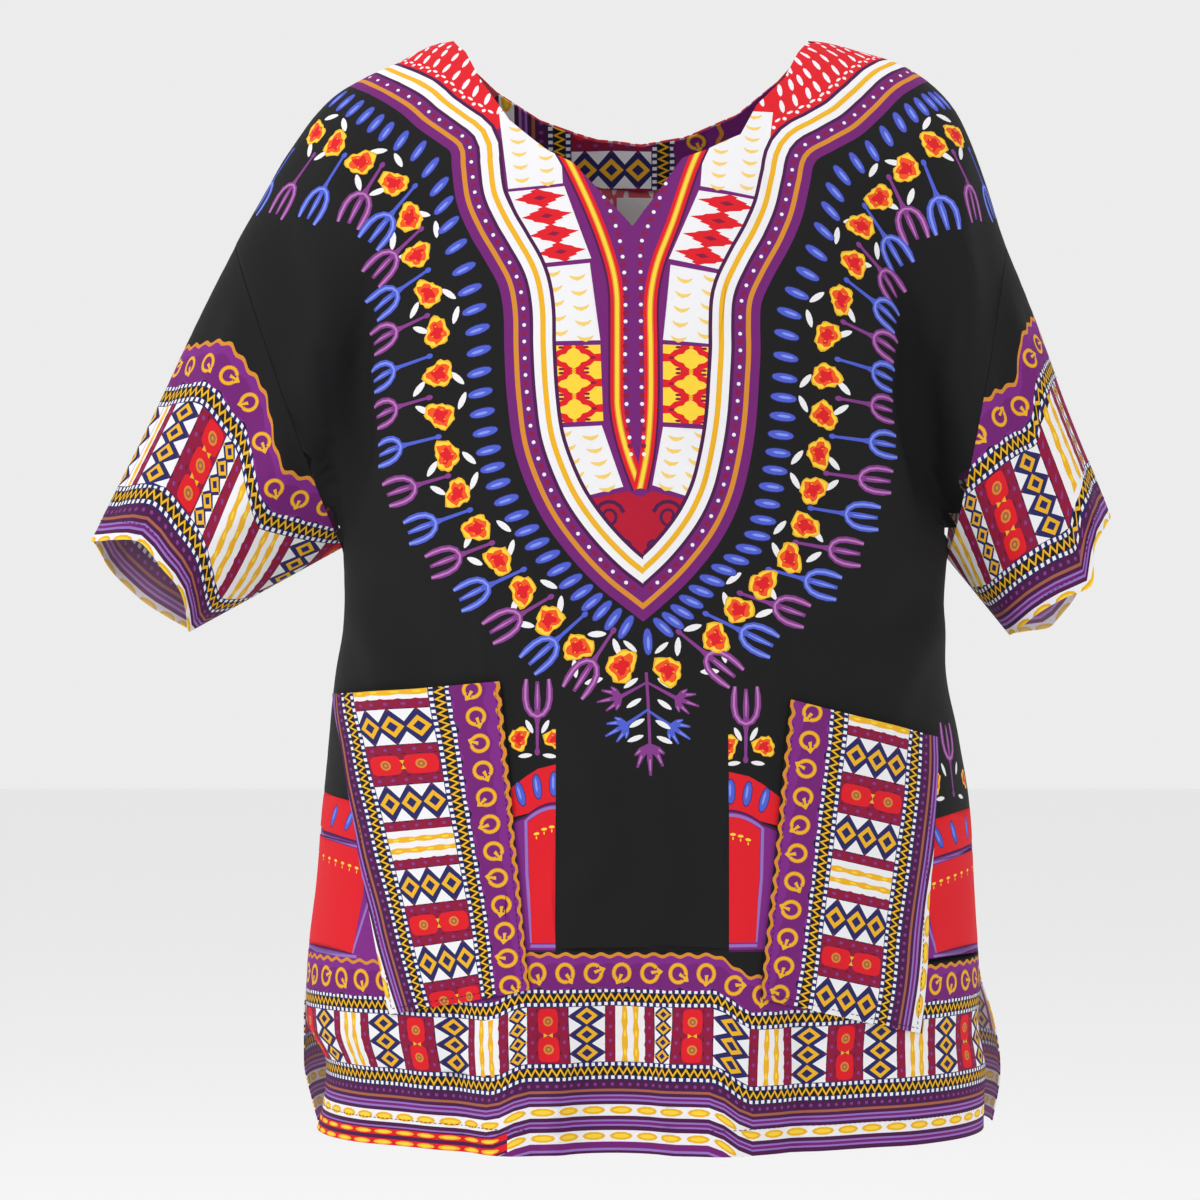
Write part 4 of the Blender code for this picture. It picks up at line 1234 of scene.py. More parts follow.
def spray(ink, cloth, x, top, reach=1.0):
    """A trident over a stem with flowers and leaves at its foot."""
    def at(a, b, ahead):
        return axes_at(cloth.seen([(x + a, top + b)])[0], ahead)
    trident(ink, at(0.0, -2.3, (0.0, 1.0)), "mauve", "pink", 2.2)
    for sign in (-1, 1):
        leaf(ink, at(0.52 * sign, -2.95, (0.55 * sign, 1.0)), 1.0, 0.34)
        flower(ink, at(1.2 * sign * reach, -3.75, (sign, 0.2)), 0.80, 1.1 + sign)
        leaf(ink, at(0.8 * sign, -4.85, (1.0, -0.12 * sign)), 0.95, 0.3)


def arch(ink, cloth, centre, side, top, foot, half):
    """Half of an arched red panel with blue petals over it, from its middle outwards to one side."""
    seen = cloth.seen

    def shape(dye, loop):
        ink.dye(dye, seen([(centre + side * a, z) for a, z in loop]))

    def sag(a):
        return -0.9 * (a / half) ** 2

    inner = [half * k / 6 for k in range(7)]
    wide = half + 1.3
    shape("red", [(0, top + 2.7), (half * 0.6, top + 2.4), (half, top + 1.9), (wide, top + 0.9),
                  (wide, top - 0.9), (0, top)])
    shape("plum", [(a, top + 0.25 + sag(a)) for a in inner] + [(wide, top - 1.2), (wide, foot - 0.6),
                                                               (0, foot - 0.6)])
    shape("violet", [(a, top + 0.1 + sag(a)) for a in inner] + [(wide, top - 1.4), (wide, foot - 0.45),
                                                                (0, foot - 0.45)])
    rim = [(a, top - 0.1 + sag(a)) for a in inner] + [(half * 0.97, (top + foot) / 2), (half * 0.8, foot)]
    line = np.array(rim)
    ink.dye("lilac", drawn_line(seen([(centre + side * a, z) for a, z in line]), 0.2))
    body = [(a * 0.93, top - 0.2 + sag(a)) for a in inner] + [(half * 0.9, (top + foot) / 2),
                                                              (half * 0.8, foot), (0, foot)]
    shape("red", body)
    shape("lilac", [(0, foot - 0.3), (half * 0.84, foot - 0.3), (half * 0.84, foot - 0.1), (0, foot - 0.1)])
    for k in range(int(half * 0.88 / 0.5)):
        a = (k + 0.5) * 0.5
        z = top - 1.35 + sag(a / 0.88)
        spot = seen([(centre + side * a, z)])[0]
        ink.dye("yellow", placed(axes_at(spot, (1.0, -0.3 * side * a / half)), oval(0.42, 0.2, 6)))
        ink.dye("yellow", placed(axes_at(spot + np.array([0, -0.26]), (1.0, 0.0)), oval(0.1, 0.22, 6)))
    for k in range(int((half + 0.9) / 1.1) + 1):
        a = 0.12 + 1.1 * k
        z = top + 1.42 - 1.1 * (a / (half + 1.0)) ** 2
        spot = seen([(centre + side * a, z)])[0]
        at = axes_at(spot, (0.15 * side * k, 1.0))
        ink.dye("navy", placed(at, oval(1.75, 0.66, 12, 0.9)))
        ink.dye("blue", placed(at, oval(1.6, 0.54, 12, 0.9)))
        ink.dye("sky", placed(at, shifted(oval(1.0, 0.16, 6), 0.1, 0.05)))


# ---------------------------------------------------------------- the print of each piece

def edge_line(cloth, height):
    """The flat line of a panel's hem or a sleeve's cuff."""
    line = cloth.lay_flat(cloth.first, np.full(len(cloth.first), float(height)))
    return line[np.argsort(line[:, 0])]


HEM_ORDER = "RmdmRmDmYmDmRmDmYmdmRmDmYmdmRmDmYmDmRmDmYmDmRmDmYm"


def print_front(cloth):
    """The front panel: shield, ring, pendant, sprays and arches beside the pockets, and hem border."""
    ink = Print()
    hem = edge_line(cloth, HEM)
    for centre, side, top, half in ((-5.0, -1, -51.3, 1.95), (6.3, 1, -51.8, 2.2), (-24.5, 1, -53.6, 7.4),
                                    (24.8, -1, -54.7, 5.8)):
        arch(ink, cloth, centre, side, top, -60.2 if abs(centre) < 10 else -61.4, half)
    spray(ink, cloth, -6.2, -43.2)
    spray(ink, cloth, 7.4, -43.7)
    spray(ink, cloth, 21.3, -46.4)
    middle = [(-5.0, -40.5), (6.25, -40.5), (6.25, -60.6), (-5.0, -60.6)]
    ink.dye("black", cloth.seen(middle))

    def place(l, w):
        shift = 0.95 - 0.95 * ramp(l, -9.6, -6.8) + 1.5 * ramp(l, 5.2, 8.2)
        return np.array([l, np.interp(l, hem[:, 0], hem[:, 1]) + w - shift])

    border = Border(ink, place, hem[0, 0] - 0.5, hem[-1, 0] + 0.5)
    border.whole(HEM_ORDER, -30.3, 3.7)
    red_row = Border(ink, place, hem[0, 0] - 0.5, -8.2)
    red_row.strip("plum", 0.75, 2.1)
    red_row.dashes(0.9, 1.35, "red")
    red_row.dashes(1.6, 2.0, "red")
    ring(ink, cloth, RING_RIGHT, 18)
    ring(ink, cloth, RING_LEFT, 18)
    pendant(ink, cloth)
    front_shield(ink, cloth)
    return ink


BACK_SHIELD_RIGHT = [(-18.6, -3.2), (-15.8, -5.6), (-13.4, -8.4), (-11.0, -11.4), (-8.0, -14.4),
                     (-4.4, -17.0)]
BACK_SHIELD_TIP = (0.2, -19.4)
BACK_SHIELD_LEFT = [(4.8, -17.0), (8.2, -14.4), (11.2, -11.4), (13.6, -8.2), (16.0, -5.2), (19.5, -2.8)]
BACK_RING_RIGHT = [
    (-20.5, -4.2, -26.0, -11.9), (-18.2, -6.4, -22.6, -13.2), (-16.2, -8.4, -20.2, -14.8),
    (-13.8, -11.2, -18.2, -16.6), (-10.8, -14.6, -15.2, -20.0), (-6.8, -17.8, -10.2, -23.4), (-2.2, -20.2,
                                                                                              -3.4, -26.4),
]
BACK_RING_LEFT = [
    (21.2, -4.2, 24.8, -12.2), (19.0, -6.2, 22.6, -13.4), (16.8, -8.4, 20.6, -15.0),
    (14.2, -11.2, 18.6, -16.8), (11.0, -14.6, 15.6, -20.0), (7.0, -17.8, 10.8, -23.4), (2.6, -20.2, 4.0,
                                                                                        -26.4),
]


def print_back(cloth):
    """The back panel: a plain shield under the neck, its ring, arches and the hem border."""
    ink = Print()
    hem = edge_line(cloth, BACK_HEM)
    for centre, half, top, foot in ((-24.0, 4.4, -53.0, -61.0), (24.8, 4.4, -53.6, -61.0),
                                    (-8.4, 3.4, -51.0, -60.0), (8.4, 3.4, -51.0, -60.0)):
        for side in (-1, 1):
            arch(ink, cloth, centre, side, top, foot, half)
    spray(ink, cloth, -8.4, -43.2)
    spray(ink, cloth, 8.4, -43.2)

    def place(l, w):
        return np.array([l, np.interp(l, hem[:, 0], hem[:, 1]) + w])

    border = Border(ink, place, hem[0, 0] - 0.5, hem[-1, 0] + 0.5)
    border.whole(HEM_ORDER, -31.3, 3.7)
    ring(ink, cloth, BACK_RING_RIGHT, 11)
    ring(ink, cloth, BACK_RING_LEFT, 11)
    shield = Shield(cloth, BACK_SHIELD_RIGHT, BACK_SHIELD_TIP, BACK_SHIELD_LEFT)
    below = cloth.seen([(0.2, -20.9), (0.2, -24.6), (-1.5, -23.0), (1.9, -23.0)])
    petal(ink, axes_at(below[0], (0.0, -1.0)))
    trident(ink, axes_at(below[1], (0.0, -1.0)), "blue", "sky", 2.3)
    flower(ink, axes_at(below[2], (-1.0, 0.0)), 0.85, 0.7)
    flower(ink, axes_at(below[3], (1.0, 0.0)), 0.85, 2.0)
    top = np.array([[16.0, 100.0], [-16.0, 100.0]])
    ink.dye("red", np.concatenate([shield.line(0, 0.0), shield.line(1, 0.0)[::-1], top]))
    for half in range(2):
        yoke_marks(ink, shield, half, shield.line(half, 3.4)[:-2], 9)
    for low, high, dye in SHIELD_BANDS:
        shield.band(ink, dye, low, high)
    shield.band(ink, "gold", 2.42, 2.78)
    shield.dots(ink, 1.34, 0.56)
    return ink


SLEEVE_ORDER = {"right": "YmDmRmYmDmRmdmYmDmRmDymDmRdmYmYmDmRmDmYm",
                "left": "YmDmRmYmYmdmRmDmYmdmYmDmRmDmYmdmYmDmRmDm"}
SLEEVE_START = {"right": -25.23, "left": -25.03}
SLEEVE_SCALE = (1.06, 1.3)      # along the cuff, and up the sleeve


def print_sleeve(cloth, side):
    """A sleeve: the border print along its cuff, black above."""
    ink = Print()
    cuff = edge_line(cloth, 1.0)
    wide, tall = SLEEVE_SCALE

    def place(l, w):
        a = l * wide
        return np.array([a, np.interp(a, cuff[:, 0], cuff[:, 1]) + (w - 2.82) * tall])

    border = Border(ink, place, cuff[0, 0] / wide - 7.0, cuff[-1, 0] / wide + 7.0, low=1.0)
    border.whole(SLEEVE_ORDER[side], SLEEVE_START[side], 4.65)
    return ink


def print_pocket(cloth, side):
    """A patch pocket: the border print turned upright, its rings towards the middle of the shirt."""
    ink = Print()
    corners = cloth.seen(POCKETS[side])
    put = in_quad(corners)
    length = (np.linalg.norm(corners[3] - corners[0]) + np.linalg.norm(corners[2] - corners[1])) / 2
    far = COLUMN_FOOT + 4.3 + BEADS_WIDTH + RINGS_WIDTH + 0.15

    def place(l, w):
        t = l / length
        start = 3.2 - 0.9 * min(1.0, max(0.0, (t - 0.1) / 0.6))
        return put((w - start) / (far - start), t)

    border = Border(ink, place, -0.5, length + 0.5, low=2.2)
    border.whole("ymDmRmDmYmDmRmDmR", -0.15, 4.3)
    return ink


def print_facing(cloth):
    """The facing inside the back of the neck: the border print turned upright on a purple ground."""
    ink = Print()
    ink.dye("purple", cloth.seen([(-12.0, 0.8), (12.0, 0.8), (11.8, -12.5), (-11.8, -12.5)]))
    def place(l, w):
        return cloth.seen([(-5.95 + (w - BEADS_FOOT) * 1.4, -4.1 - l * 1.07)])[0]

    border = Border(ink, place, -5.0, 7.0, low=1.0)
    border.whole("DmDmRmDmYm", -5.7, 4.0)
    return ink


# ---------------------------------------------------------------- materials

class Value:
    """A shader socket that Python expressions can work with."""

    def __init__(self, tree, socket):
        self.tree = tree
        self.socket = socket

    def node(self, kind, settings, inputs):
        """Any other node of the same tree: its type, its settings, then its inputs."""
        made = self.tree.nodes.new(kind)
        for name, setting in settings.items():
            setattr(made, name, setting)
        for name, value in inputs.items():
            if isinstance(value, Value):
                self.tree.links.new(value.socket, made.inputs[name])
            else:
                made.inputs[name].default_value = value
        return made

    def maths(self, operation, *others):
        inputs = dict(enumerate((self,) + others))
        return Value(self.tree, self.node("ShaderNodeMath", {"operation": operation}, inputs).outputs[0])

    def __add__(self, other):
        return self.maths("ADD", other)

    def __radd__(self, other):
        return self + other

    def __sub__(self, other):
        return self.maths("SUBTRACT", other)

    def __rsub__(self, other):
        return self * -1.0 + other

    def __mul__(self, other):
        return self.maths("MULTIPLY", other)

    def __rmul__(self, other):
        return self * other

    def sin(self):
        return self.maths("SINE")


THREADS = 2600.0          # threads in a metre of cloth
THREAD_RISE = 0.00006     # metres that the threads stand out
CRUMPLE_RISE = 0.0010     # metres that the small crumples stand out


def cotton(name, colour, roughness=0.86, threads=THREADS):
    """Plain weave in one colour. Its threads and small crumples only turn the light."""
    material = bpy.data.materials.new(name)
    material.use_nodes = True
    tree = material.node_tree
    shader = tree.nodes["Principled BSDF"]
    shader.inputs["Base Color"].default_value = (*colour, 1.0)
    shader.inputs["Roughness"].default_value = roughness
    shader.inputs["Specular IOR Level"].default_value = 0.3
    places = tree.nodes.new("ShaderNodeTexCoord")
    flat = Value(tree, places.outputs["UV"])
    split = flat.node("ShaderNodeSeparateXYZ", {}, {"Vector": flat})
    across, along = (Value(tree, split.outputs[axis]) for axis in ("X", "Y"))
    weave = (across * (threads * math.pi)).sin() * (along * (threads * math.pi)).sin()
    noise = flat.node("ShaderNodeTexNoise", {}, {"Vector": flat, "Scale": 38.0, "Detail": 3.0,
                                                 "Roughness": 0.45})
    crumple = Value(tree, noise.outputs["Fac"])
    rise = weave * THREAD_RISE + crumple * CRUMPLE_RISE
    bump = flat.node("ShaderNodeBump", {}, {"Strength": 1.0, "Distance": 1.0, "Height": rise})
    tree.links.new(bump.outputs["Normal"], shader.inputs["Normal"])
    return material


def linear(colour):
    """A seen colour as the light it stands for."""
    shares = np.array(colour) / 255.0
    return tuple(float(x) for x in np.where(shares <= 0.04045, shares / 12.92,
                                            ((shares + 0.055) / 1.055) ** 2.4))


WRONG_SIDE = (196, 176, 190)      # what the dyes fade towards on the wrong side
WRONG_SHARE = 0.42
COTTONS = {}


def dyed(name, wrong):
    """The cloth of one dye, on its right or its wrong side."""
    if (name, wrong) not in COTTONS:
        colour = np.array(DYES[name], float)
        if wrong:
            colour = between(colour, WRONG_SIDE, WRONG_SHARE)
        COTTONS[name, wrong] = cotton(name + ("_wrong_side" if wrong else "_cotton"), linear(colour))
    return COTTONS[name, wrong]


# ---------------------------------------------------------------- cloth pieces

BASE_STEP, CREASE_STEP = 0.004, 0.006      # steps for normals, as shares of a form's direction
HEIGHT_STEP = 40                           # how much longer they are where the second direction is a height


def surface_normals(form, place, first, second, step):
    """Unit normals, outwards, of the surface that place gives, from small steps along both directions."""
    low_end, high_end = form.second_range
    steps = step, step * (1 if high_end - low_end < 2 else HEIGHT_STEP)
    runs = []
    for k, (low, high) in enumerate(((-1.0, 1.0), form.second_range)):
        ahead, behind = [first, second], [first, second]
        ahead[k] = np.minimum(ahead[k] + steps[k], high)
        behind[k] = np.maximum(behind[k] - steps[k], low)
        runs.append(place(*ahead) - place(*behind))
    normal = np.cross(runs[0], runs[1]) * form.handed
    return normal / np.clip(np.linalg.norm(normal, axis=-1, keepdims=True), 1e-9, None)


def creased(form, first, second, lift):
    """Places on the creased form, raised along its normal by the lift."""
    rise = form.rise(first, second) + lift
    normals = surface_normals(form, form.base, first, second, BASE_STEP)
    return form.base(first, second) + normals * rise[..., None]


def creased_normals(form, first, second, lift):
    """Unit normals of the creased form."""
    return surface_normals(form, lambda f, s: creased(form, f, s, lift), first, second, CREASE_STEP)


def cut_out(outline, ink, step):
    """The flat piece in triangles: its points, triangles, and the dye of each."""
    low, high = outline.min(axis=0), outline.max(axis=0)
    points = [Vector(p) for p in outline]
    faces = [list(range(len(outline)))]
    for loop in ink.loops:
        faces.append(list(range(len(points), len(points) + len(loop))))
        points += [Vector(p) for p in loop]
    for row, y in enumerate(np.arange(low[1], high[1], step * 0.87)):
        for x in np.arange(low[0] + (row % 2) * step / 2, high[0], step):
            points.append(Vector((x, y)))
    cut = delaunay_2d_cdt(points, [], faces, 1, 1e-6, True)
    triangles, dyes = [], []
    for corners, owners in zip(cut[2], cut[5]):
        if 0 in owners:
            triangles.append(corners)
            dyes.append(max(owners))
    triangles = np.array(triangles)
    used, triangles = np.unique(triangles, return_inverse=True)
    triangles = triangles.reshape(-1, 3)
    flat = np.array([tuple(p) for p in cut[0]])[used]
    names = ["black"] + ink.dyes
    return flat, triangles, [names[k] for k in dyes]


def rim(triangles):
    """Edges with a triangle on one side only, as triangle and corner numbers."""
    count = int(triangles.max()) + 1
    edges = np.concatenate([triangles[:, [0, 1]], triangles[:, [1, 2]], triangles[:, [2, 0]]])
    owner = np.tile(np.arange(len(triangles)), 3)
    ahead = edges[:, 0] * count + edges[:, 1]
    back = edges[:, 1] * count + edges[:, 0]
    lone = ~np.isin(back, ahead)
    return edges[lone], owner[lone]


def sewn_piece(name, cloth, outline, ink, lift=0.0, wrong_rises=-CLOTH, step=0.5, extra=None,
               inside_out=False,
               colours=dyed):
    """One piece of cloth on its form: the printed side at its lift, the wrong side under it, and the rim."""
    flat, triangles, dyes = cut_out(outline, ink, step)
    first, second = cloth.lay_on(flat)
    form = cloth.form
    lifts = np.full(len(flat), float(lift))
    if extra is not None:
        lifts = lifts + extra(flat)
    right_side = creased(form, first, second, lifts)
    wrong_side = creased(form, first, second, lifts + wrong_rises)
    normals = creased_normals(form, first, second, lifts)
    if inside_out:
        normals = -normals
    a, b, c = (right_side[triangles[:, k]] for k in range(3))
    facing = np.einsum("ij,ij->i", np.cross(b - a, c - a), normals[triangles[:, 0]])
    if np.sum(np.sign(facing)) < 0:
        triangles = triangles[:, ::-1]
    count = len(flat)
    edges, owner = rim(triangles)
    rim_a = np.stack([edges[:, 1], edges[:, 0], edges[:, 0] + count], axis=1)
    rim_b = np.stack([edges[:, 1], edges[:, 0] + count, edges[:, 1] + count], axis=1)
    faces = np.concatenate([triangles, triangles[:, ::-1] + count, rim_a, rim_b])
    points = np.concatenate([right_side, wrong_side]) * CM
    mesh = bpy.data.meshes.new(name)
    mesh.from_pydata(points.tolist(), [], faces.tolist())
    names = sorted(set(dyes))
    for wrong in (False, True):
        for dye in names:
            mesh.materials.append(colours(dye, wrong))
    number = np.array([names.index(dye) for dye in dyes])
    slots = np.concatenate([number, number + len(names), number[owner], number[owner]])
    mesh.polygons.foreach_set("material_index", slots.astype(np.int32))
    mesh.polygons.foreach_set("use_smooth", np.ones(len(faces), bool))
    both = np.concatenate([flat, flat]) * CM
    layer = mesh.uv_layers.new(name="flat_cloth")
    layer.data.foreach_set("uv", both[faces.reshape(-1)].reshape(-1))
    corner_normals = np.concatenate([normals[triangles].reshape(-1, 3),
                                     -normals[triangles[:, ::-1]].reshape(-1, 3)])
    outwards = []
    for face in (rim_a, rim_b):
        a, b, c = (points[face[:, k]] for k in range(3))
        across = np.cross(b - a, c - a)
        across /= np.clip(np.linalg.norm(across, axis=1, keepdims=True), 1e-12, None)
        outwards.append(np.repeat(across, 3, axis=0))
    mesh.normals_split_custom_set(np.concatenate([corner_normals] + outwards).tolist())
    piece = bpy.data.objects.new(name, mesh)
    bpy.context.scene.collection.objects.link(piece)
    return piece


def closed_outline(*runs):
    """Flat runs joined into one closed outline, to the left, without doubled corners."""
    line = np.concatenate(runs)
    kept = [line[0]]
    for place in line[1:]:
        if np.linalg.norm(place - kept[-1]) > 0.02:
            kept.append(place)
    if np.linalg.norm(kept[0] - kept[-1]) < 0.02:
        kept.pop()
    kept = np.array(kept)
    x, y = kept[:, 0], kept[:, 1]
    return kept if np.sum(x * np.roll(y, -1) - np.roll(x, -1) * y) > 0 else kept[::-1]


def steps_along(points, step):
    """Straight runs through the places, in steps of about the given length."""
    points = np.asarray(points, float)
    runs = []
    for a, b in zip(points[:-1], points[1:]):
        count = max(1, round(np.linalg.norm(b - a) / step))
        runs += [between(a, b, k / count) for k in range(count)]
    return np.array(runs + [points[-1]])


EDGE_PITCH = 0.4           # between points along a sewn edge
SIDE_PITCH = 0.45          # and down the shoulders and sides
ARMHOLE_STEPS = 45         # points along each armhole, closer at both ends
HEM_STEPS = 131


def panel_outline(cloth, neck, hem):
    """Round the neck, down one side, along the hem and up the other."""
    neck_line = cloth.seen(steps_along(neck, EDGE_PITCH))[1:-1]
    share = (1 - np.cos(np.pi * np.arange(ARMHOLE_STEPS + 1) / ARMHOLE_STEPS)) / 2
    runs = {}
    for side in SIDES:
        foot = ARMPIT[side][1]
        armhole = SEAM_TOP + (foot - SEAM_TOP) * share
        above, below = np.arange(0.0, SEAM_TOP, -SIDE_PITCH), np.arange(foot - 0.3, hem, -SIDE_PITCH)
        runs[side] = np.concatenate([above, armhole, below])
    left = cloth.lay_flat(np.ones(len(runs["left"])), runs["left"])
    turns = np.linspace(1, -1, HEM_STEPS)
    foot = cloth.lay_flat(turns, np.full(len(turns), float(hem)))
    right = cloth.lay_flat(-np.ones(len(runs["right"])), runs["right"][::-1])
    return closed_outline(neck_line, left, foot, right)


def sleeve_outline(cloth):
    """Along the sleeve seam, down the underarm, round the cuff and back up the underarm."""
    turns = np.linspace(-1, 1, 2 * ARMHOLE_STEPS + 1)
    shares = np.linspace(cloth.second[0], 1.0, 45)
    ones = np.ones(len(turns))
    return closed_outline(cloth.lay_flat(turns, ones * cloth.second[0]),
                          cloth.lay_flat(np.ones(45), shares),
                          cloth.lay_flat(turns[::-1], ones), cloth.lay_flat(-np.ones(45), shares[::-1]))


def flat_size(outline):
    """Width, length and area of a flat outline, in metres."""
    x, y = outline[:, 0] * CM, outline[:, 1] * CM
    area = abs(np.sum(x * np.roll(y, -1) - np.roll(x, -1) * y)) / 2
    return (float(np.ptp(x)), float(np.ptp(y))), float(area)


def finish_sheet(piece, node, outline):
    """Hangs a piece from the root in place of the node, which it hides, and measures the flat cloth that it was
    cut from.
    """
    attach(piece, "root")
    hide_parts(node)
    size, area = flat_size(outline)


STITCH = (0.13, 0.030, 0.024)      # half length, half width and half height of a stitch
STITCH_PITCH = 0.36
STITCH_RISE = 0.01                 # how far a stitch's middle stands off its cloth
HEM_STITCH_RISE = 0.012


def from_lowest(corners):
    """The same face, told from its lowest corner, so that the order of faces is alike in every run."""
    first = corners.index(min(corners))
    return corners[first:] + corners[:first]


def stitch_row(name, cloth, line, lift, dye):
    """Thread that shows along a flat line of the cloth, one small bead of it for each stitch."""
    bpy.ops.object.select_all(action="DESELECT")
    bpy.ops.mesh.primitive_uv_sphere_add(segments=6, ring_count=4, radius=1.0, location=(0.0, 0.0, 0.0))
    bead = bpy.context.object
    corners = np.array([tuple(v.co) for v in bead.data.vertices]) * np.array(STITCH)
    sides = sorted(from_lowest(tuple(p.vertices)) for p in bead.data.polygons)
    bpy.data.objects.remove(bead, do_unlink=True)
    run = run_along(line)
    at = np.arange(STITCH_PITCH / 2, run[-1], STITCH_PITCH)
    spots = np.stack([np.interp(at, run, line[:, k]) for k in range(2)], axis=1)
    ahead = np.stack([np.interp(at + 0.05, run, line[:, k]) for k in range(2)], axis=1)
    places = creased(cloth.form, *cloth.lay_on(spots), lift)
    beyond = creased(cloth.form, *cloth.lay_on(ahead), lift)
    normals = creased_normals(cloth.form, *cloth.lay_on(spots), lift)
    along = beyond - places
    along /= np.clip(np.linalg.norm(along, axis=1, keepdims=True), 1e-9, None)
    aside = np.cross(normals, along)
    points, faces = [], []
    for k in range(len(places)):
        axes = np.stack([along[k], aside[k], normals[k]])
        faces += [tuple(c + len(points) for c in side) for side in sides]
        points += ((places[k] + corners @ axes) * CM).tolist()
    mesh = bpy.data.meshes.new(name)
    mesh.from_pydata(points, [], faces)
    mesh.polygons.foreach_set("use_smooth", np.ones(len(faces), bool))
    mesh.materials.append(dyed(dye, False))
    threads = bpy.data.objects.new(name, mesh)
    bpy.context.scene.collection.objects.link(threads)
    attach(threads, "root")
    return threads


# ---------------------------------------------------------------- the shirt

front_cloth = panel_cloth("front")
back_cloth = panel_cloth("back")
front_outline = panel_outline(front_cloth, FRONT_NECK, HEM)
back_outline = panel_outline(back_cloth, BACK_NECK, BACK_HEM)
STEP = 0.75
HEM_TURN_UP = 1.7         # height of the hem's stitches
CUFF_STITCHES = 0.93      # share of the sleeve's length where the cuff is stitched
STITCHED = 0.97           # how far round a row of hem stitches runs
POCKET_LIFT = 0.11        # how much further a pocket stands off the front

front = sewn_piece("front_panel_cloth", front_cloth, front_outline, print_front(front_cloth), step=STEP)
finish_sheet(front, "front_panel", front_outline)
back = sewn_piece("back_panel_cloth", back_cloth, back_outline, print_back(back_cloth), step=STEP)
finish_sheet(back, "back_panel", back_outline)

for side in SIDES:
    cloth = sleeve_cloth(side)
    outline = sleeve_outline(cloth)
    sleeve = sewn_piece("sleeve_wearer_" + side + "_cloth", cloth, outline, print_sleeve(cloth, side),
                        step=STEP)
    finish_sheet(sleeve, "sleeve_wearer_" + side, outline)
    cuff_line = cloth.lay_flat(np.linspace(-STITCHED, STITCHED, 91), np.full(91, CUFF_STITCHES))
    stitch_row("cuff_wearer_" + side + "_stitches", cloth, cuff_line, HEM_STITCH_RISE, "plum")

for side in SIDES:
    corners = POCKETS[side]
    outline = closed_outline(front_cloth.seen(steps_along(corners + corners[:1], 0.4)))
    mouth = front_cloth.seen(corners[:2])
    mouth_middle = between(mouth[0], mouth[1], 0.5)
    mouth_half = np.linalg.norm(mouth[1] - mouth[0]) / 2

    def gape(flat):
        down = np.clip((mouth_middle[1] - flat[:, 1]) / 4.0, -0.5, 1.0)
        aside = np.clip((flat[:, 0] - mouth_middle[0]) / mouth_half, -1, 1)
        return 0.28 * (1 - ramp(down, 0.0, 1.0)) * (1 - aside ** 2)

    pocket = sewn_piece("pocket_wearer_" + side + "_cloth", front_cloth, outline,
                        print_pocket(front_cloth, side),
                        lift=LAY_GAP + CLOTH + POCKET_LIFT, step=STEP, extra=gape)
    finish_sheet(pocket, "pocket_wearer_" + side, outline)
    seam = np.array([corners[0], corners[3], corners[2], corners[1]], float)
    seam += (seam.mean(axis=0) - seam) * np.array([0.07, 0.035])
    seam = front_cloth.seen(steps_along(seam, 0.4))
    stitch_row("pocket_wearer_" + side + "_stitches", front_cloth, seam,
               LAY_GAP + CLOTH + POCKET_LIFT + STITCH_RISE,
               "plum")

facing_top = [(x * 0.985, z - FACING_INSET) for x, z in BACK_NECK[2:-2]]
facing_line = facing_top + FACING_FOOT[::-1]
outline = closed_outline(back_cloth.seen(steps_along(facing_line + facing_line[:1], 0.4)))
facing = sewn_piece("back_neck_facing_cloth", back_cloth, outline, print_facing(back_cloth),
                    lift=-2 * CLOTH - LAY_GAP,
                    wrong_rises=CLOTH, step=STEP, inside_out=True)
finish_sheet(facing, "back_neck_facing", outline)

for cloth, name, hem in ((front_cloth, "front", HEM), (back_cloth, "back", BACK_HEM)):
    turns = np.linspace(STITCHED, -STITCHED, 121)
    stitch_row(name + "_hem_stitches", cloth, cloth.lay_flat(turns, np.full(121, hem + HEM_TURN_UP)),
               HEM_STITCH_RISE, "plum")

label_left, label_right, label_top, label_foot = LABEL_BOX
label_corners = [(label_left, label_top), (label_right, label_top), (label_right, label_foot),
                 (label_left, label_foot)]
outline = closed_outline(back_cloth.seen(steps_along(label_corners + label_corners[:1], 0.3)))
tape = cotton("label_tape_weave", linear((232, 232, 230)), 0.6, 4200.0)
label = sewn_piece("neck_label_cloth", back_cloth, outline, Print(), lift=-2 * CLOTH - LAY_GAP,
                   wrong_rises=CLOTH,
                   step=0.3, inside_out=True, colours=lambda dye, wrong: tape)
finish_sheet(label, "neck_label", outline)

# ---------------------------------------------------------------- the stage

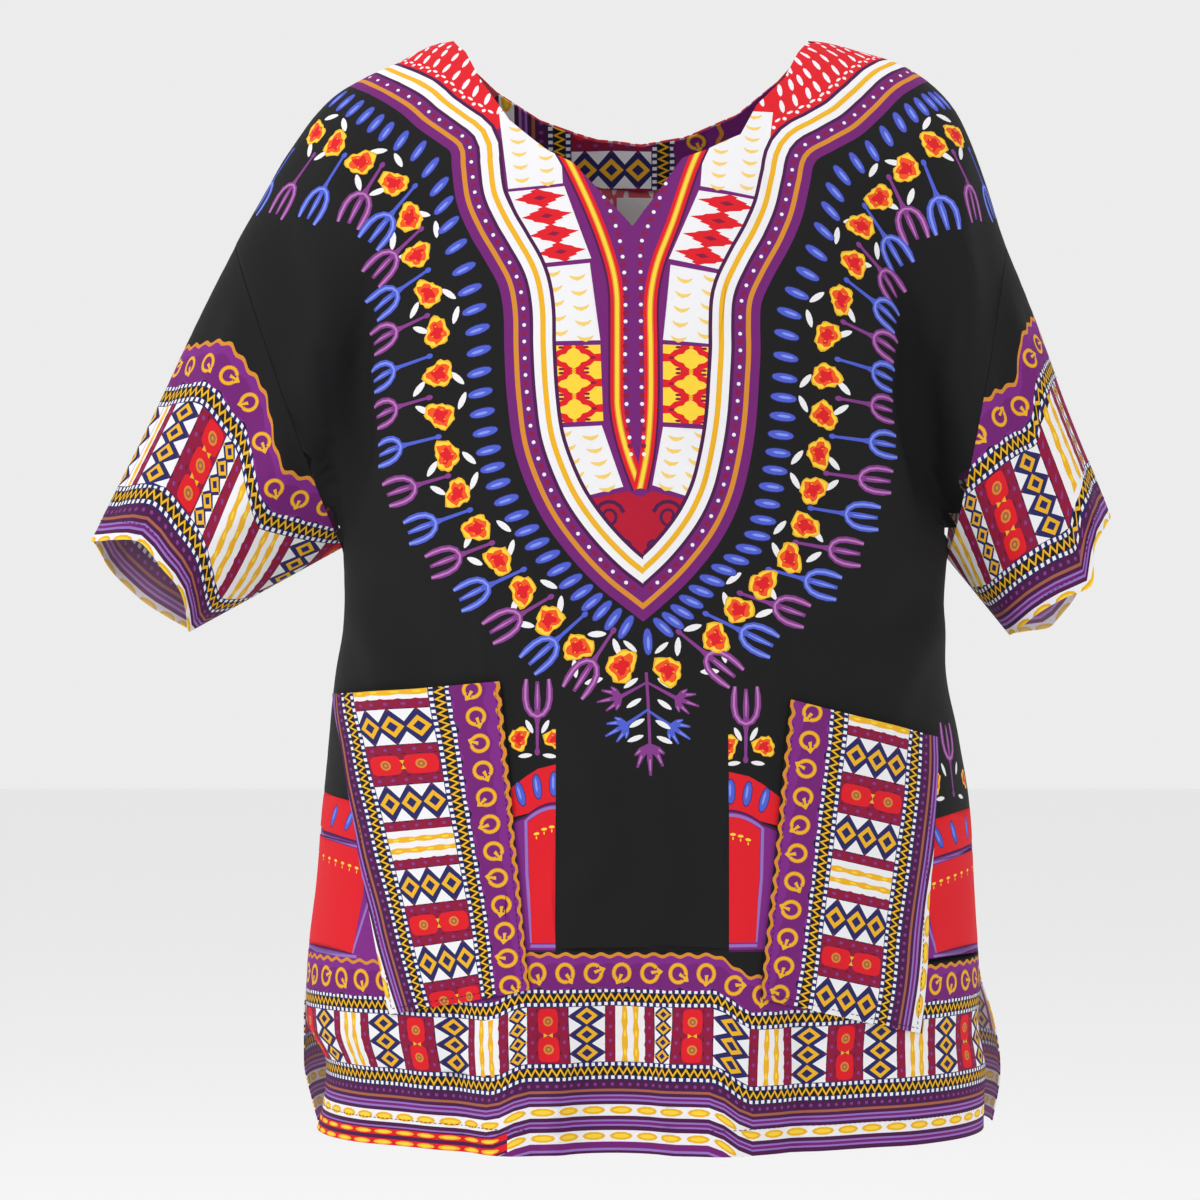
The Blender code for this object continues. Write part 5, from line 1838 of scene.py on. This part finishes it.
floor_mesh = bpy.data.meshes.new("floor")
FLOOR_HALF, FLOOR_HEIGHT = 9.0, -1.05
floor_corners = [(x * FLOOR_HALF, y * FLOOR_HALF, FLOOR_HEIGHT) for x, y in ((-1, -1), (1, -1), (1, 1), (-1, 1))]
floor_mesh.from_pydata(floor_corners, [], [(0, 1, 2, 3)])
floor = bpy.data.objects.new("floor", floor_mesh)
bpy.context.scene.collection.objects.link(floor)
paint = bpy.data.materials.new("floor_paint")
paint.use_nodes = True
paint.node_tree.nodes["Principled BSDF"].inputs["Base Color"].default_value = (0.94, 0.94, 0.94, 1.0)
paint.node_tree.nodes["Principled BSDF"].inputs["Roughness"].default_value = 0.9
floor_mesh.materials.append(paint)

world = bpy.data.worlds.new("studio")
world.use_nodes = True
world.node_tree.nodes["Background"].inputs["Color"].default_value = (1.0, 1.0, 1.0, 1.0)
world.node_tree.nodes["Background"].inputs["Strength"].default_value = 0.84
bpy.context.scene.world = world


def soft_light(name, place, aim, size, power):
    """A square lamp of a size in metres and a power in watts, turned to its aim."""
    lamp = bpy.data.lights.new(name, "AREA")
    lamp.shape = "SQUARE"
    lamp.size = size
    lamp.energy = power
    item = bpy.data.objects.new(name, lamp)
    item.location = place
    item.rotation_euler = (Vector(aim) - Vector(place)).to_track_quat("-Z", "Y").to_euler()
    bpy.context.scene.collection.objects.link(item)


SHIRT_MIDDLE = (0.0, 0.0, -0.35)
soft_light("key_light", (-2.0, -1.5, 1.3), SHIRT_MIDDLE, 0.8, 27.0)
soft_light("fill_light", (2.2, -1.8, 0.2), SHIRT_MIDDLE, 1.4, 5.0)
soft_light("top_light", (0.2, 0.6, 2.0), (0.0, 0.0, -0.2), 1.2, 10.0)

camera_data = bpy.data.cameras.new("camera")
camera_data.lens = 132.0
camera_data.sensor_width = 36.0
camera_data.shift_x = -0.027
camera_data.shift_y = -0.0625
camera = bpy.data.objects.new("camera", camera_data)
camera.location = (0.0, -3.0, -0.33)
camera.rotation_euler = (math.pi / 2, 0.0, 0.0)
bpy.context.scene.collection.objects.link(camera)
bpy.context.scene.camera = camera
bpy.context.scene.view_settings.view_transform = "Standard"
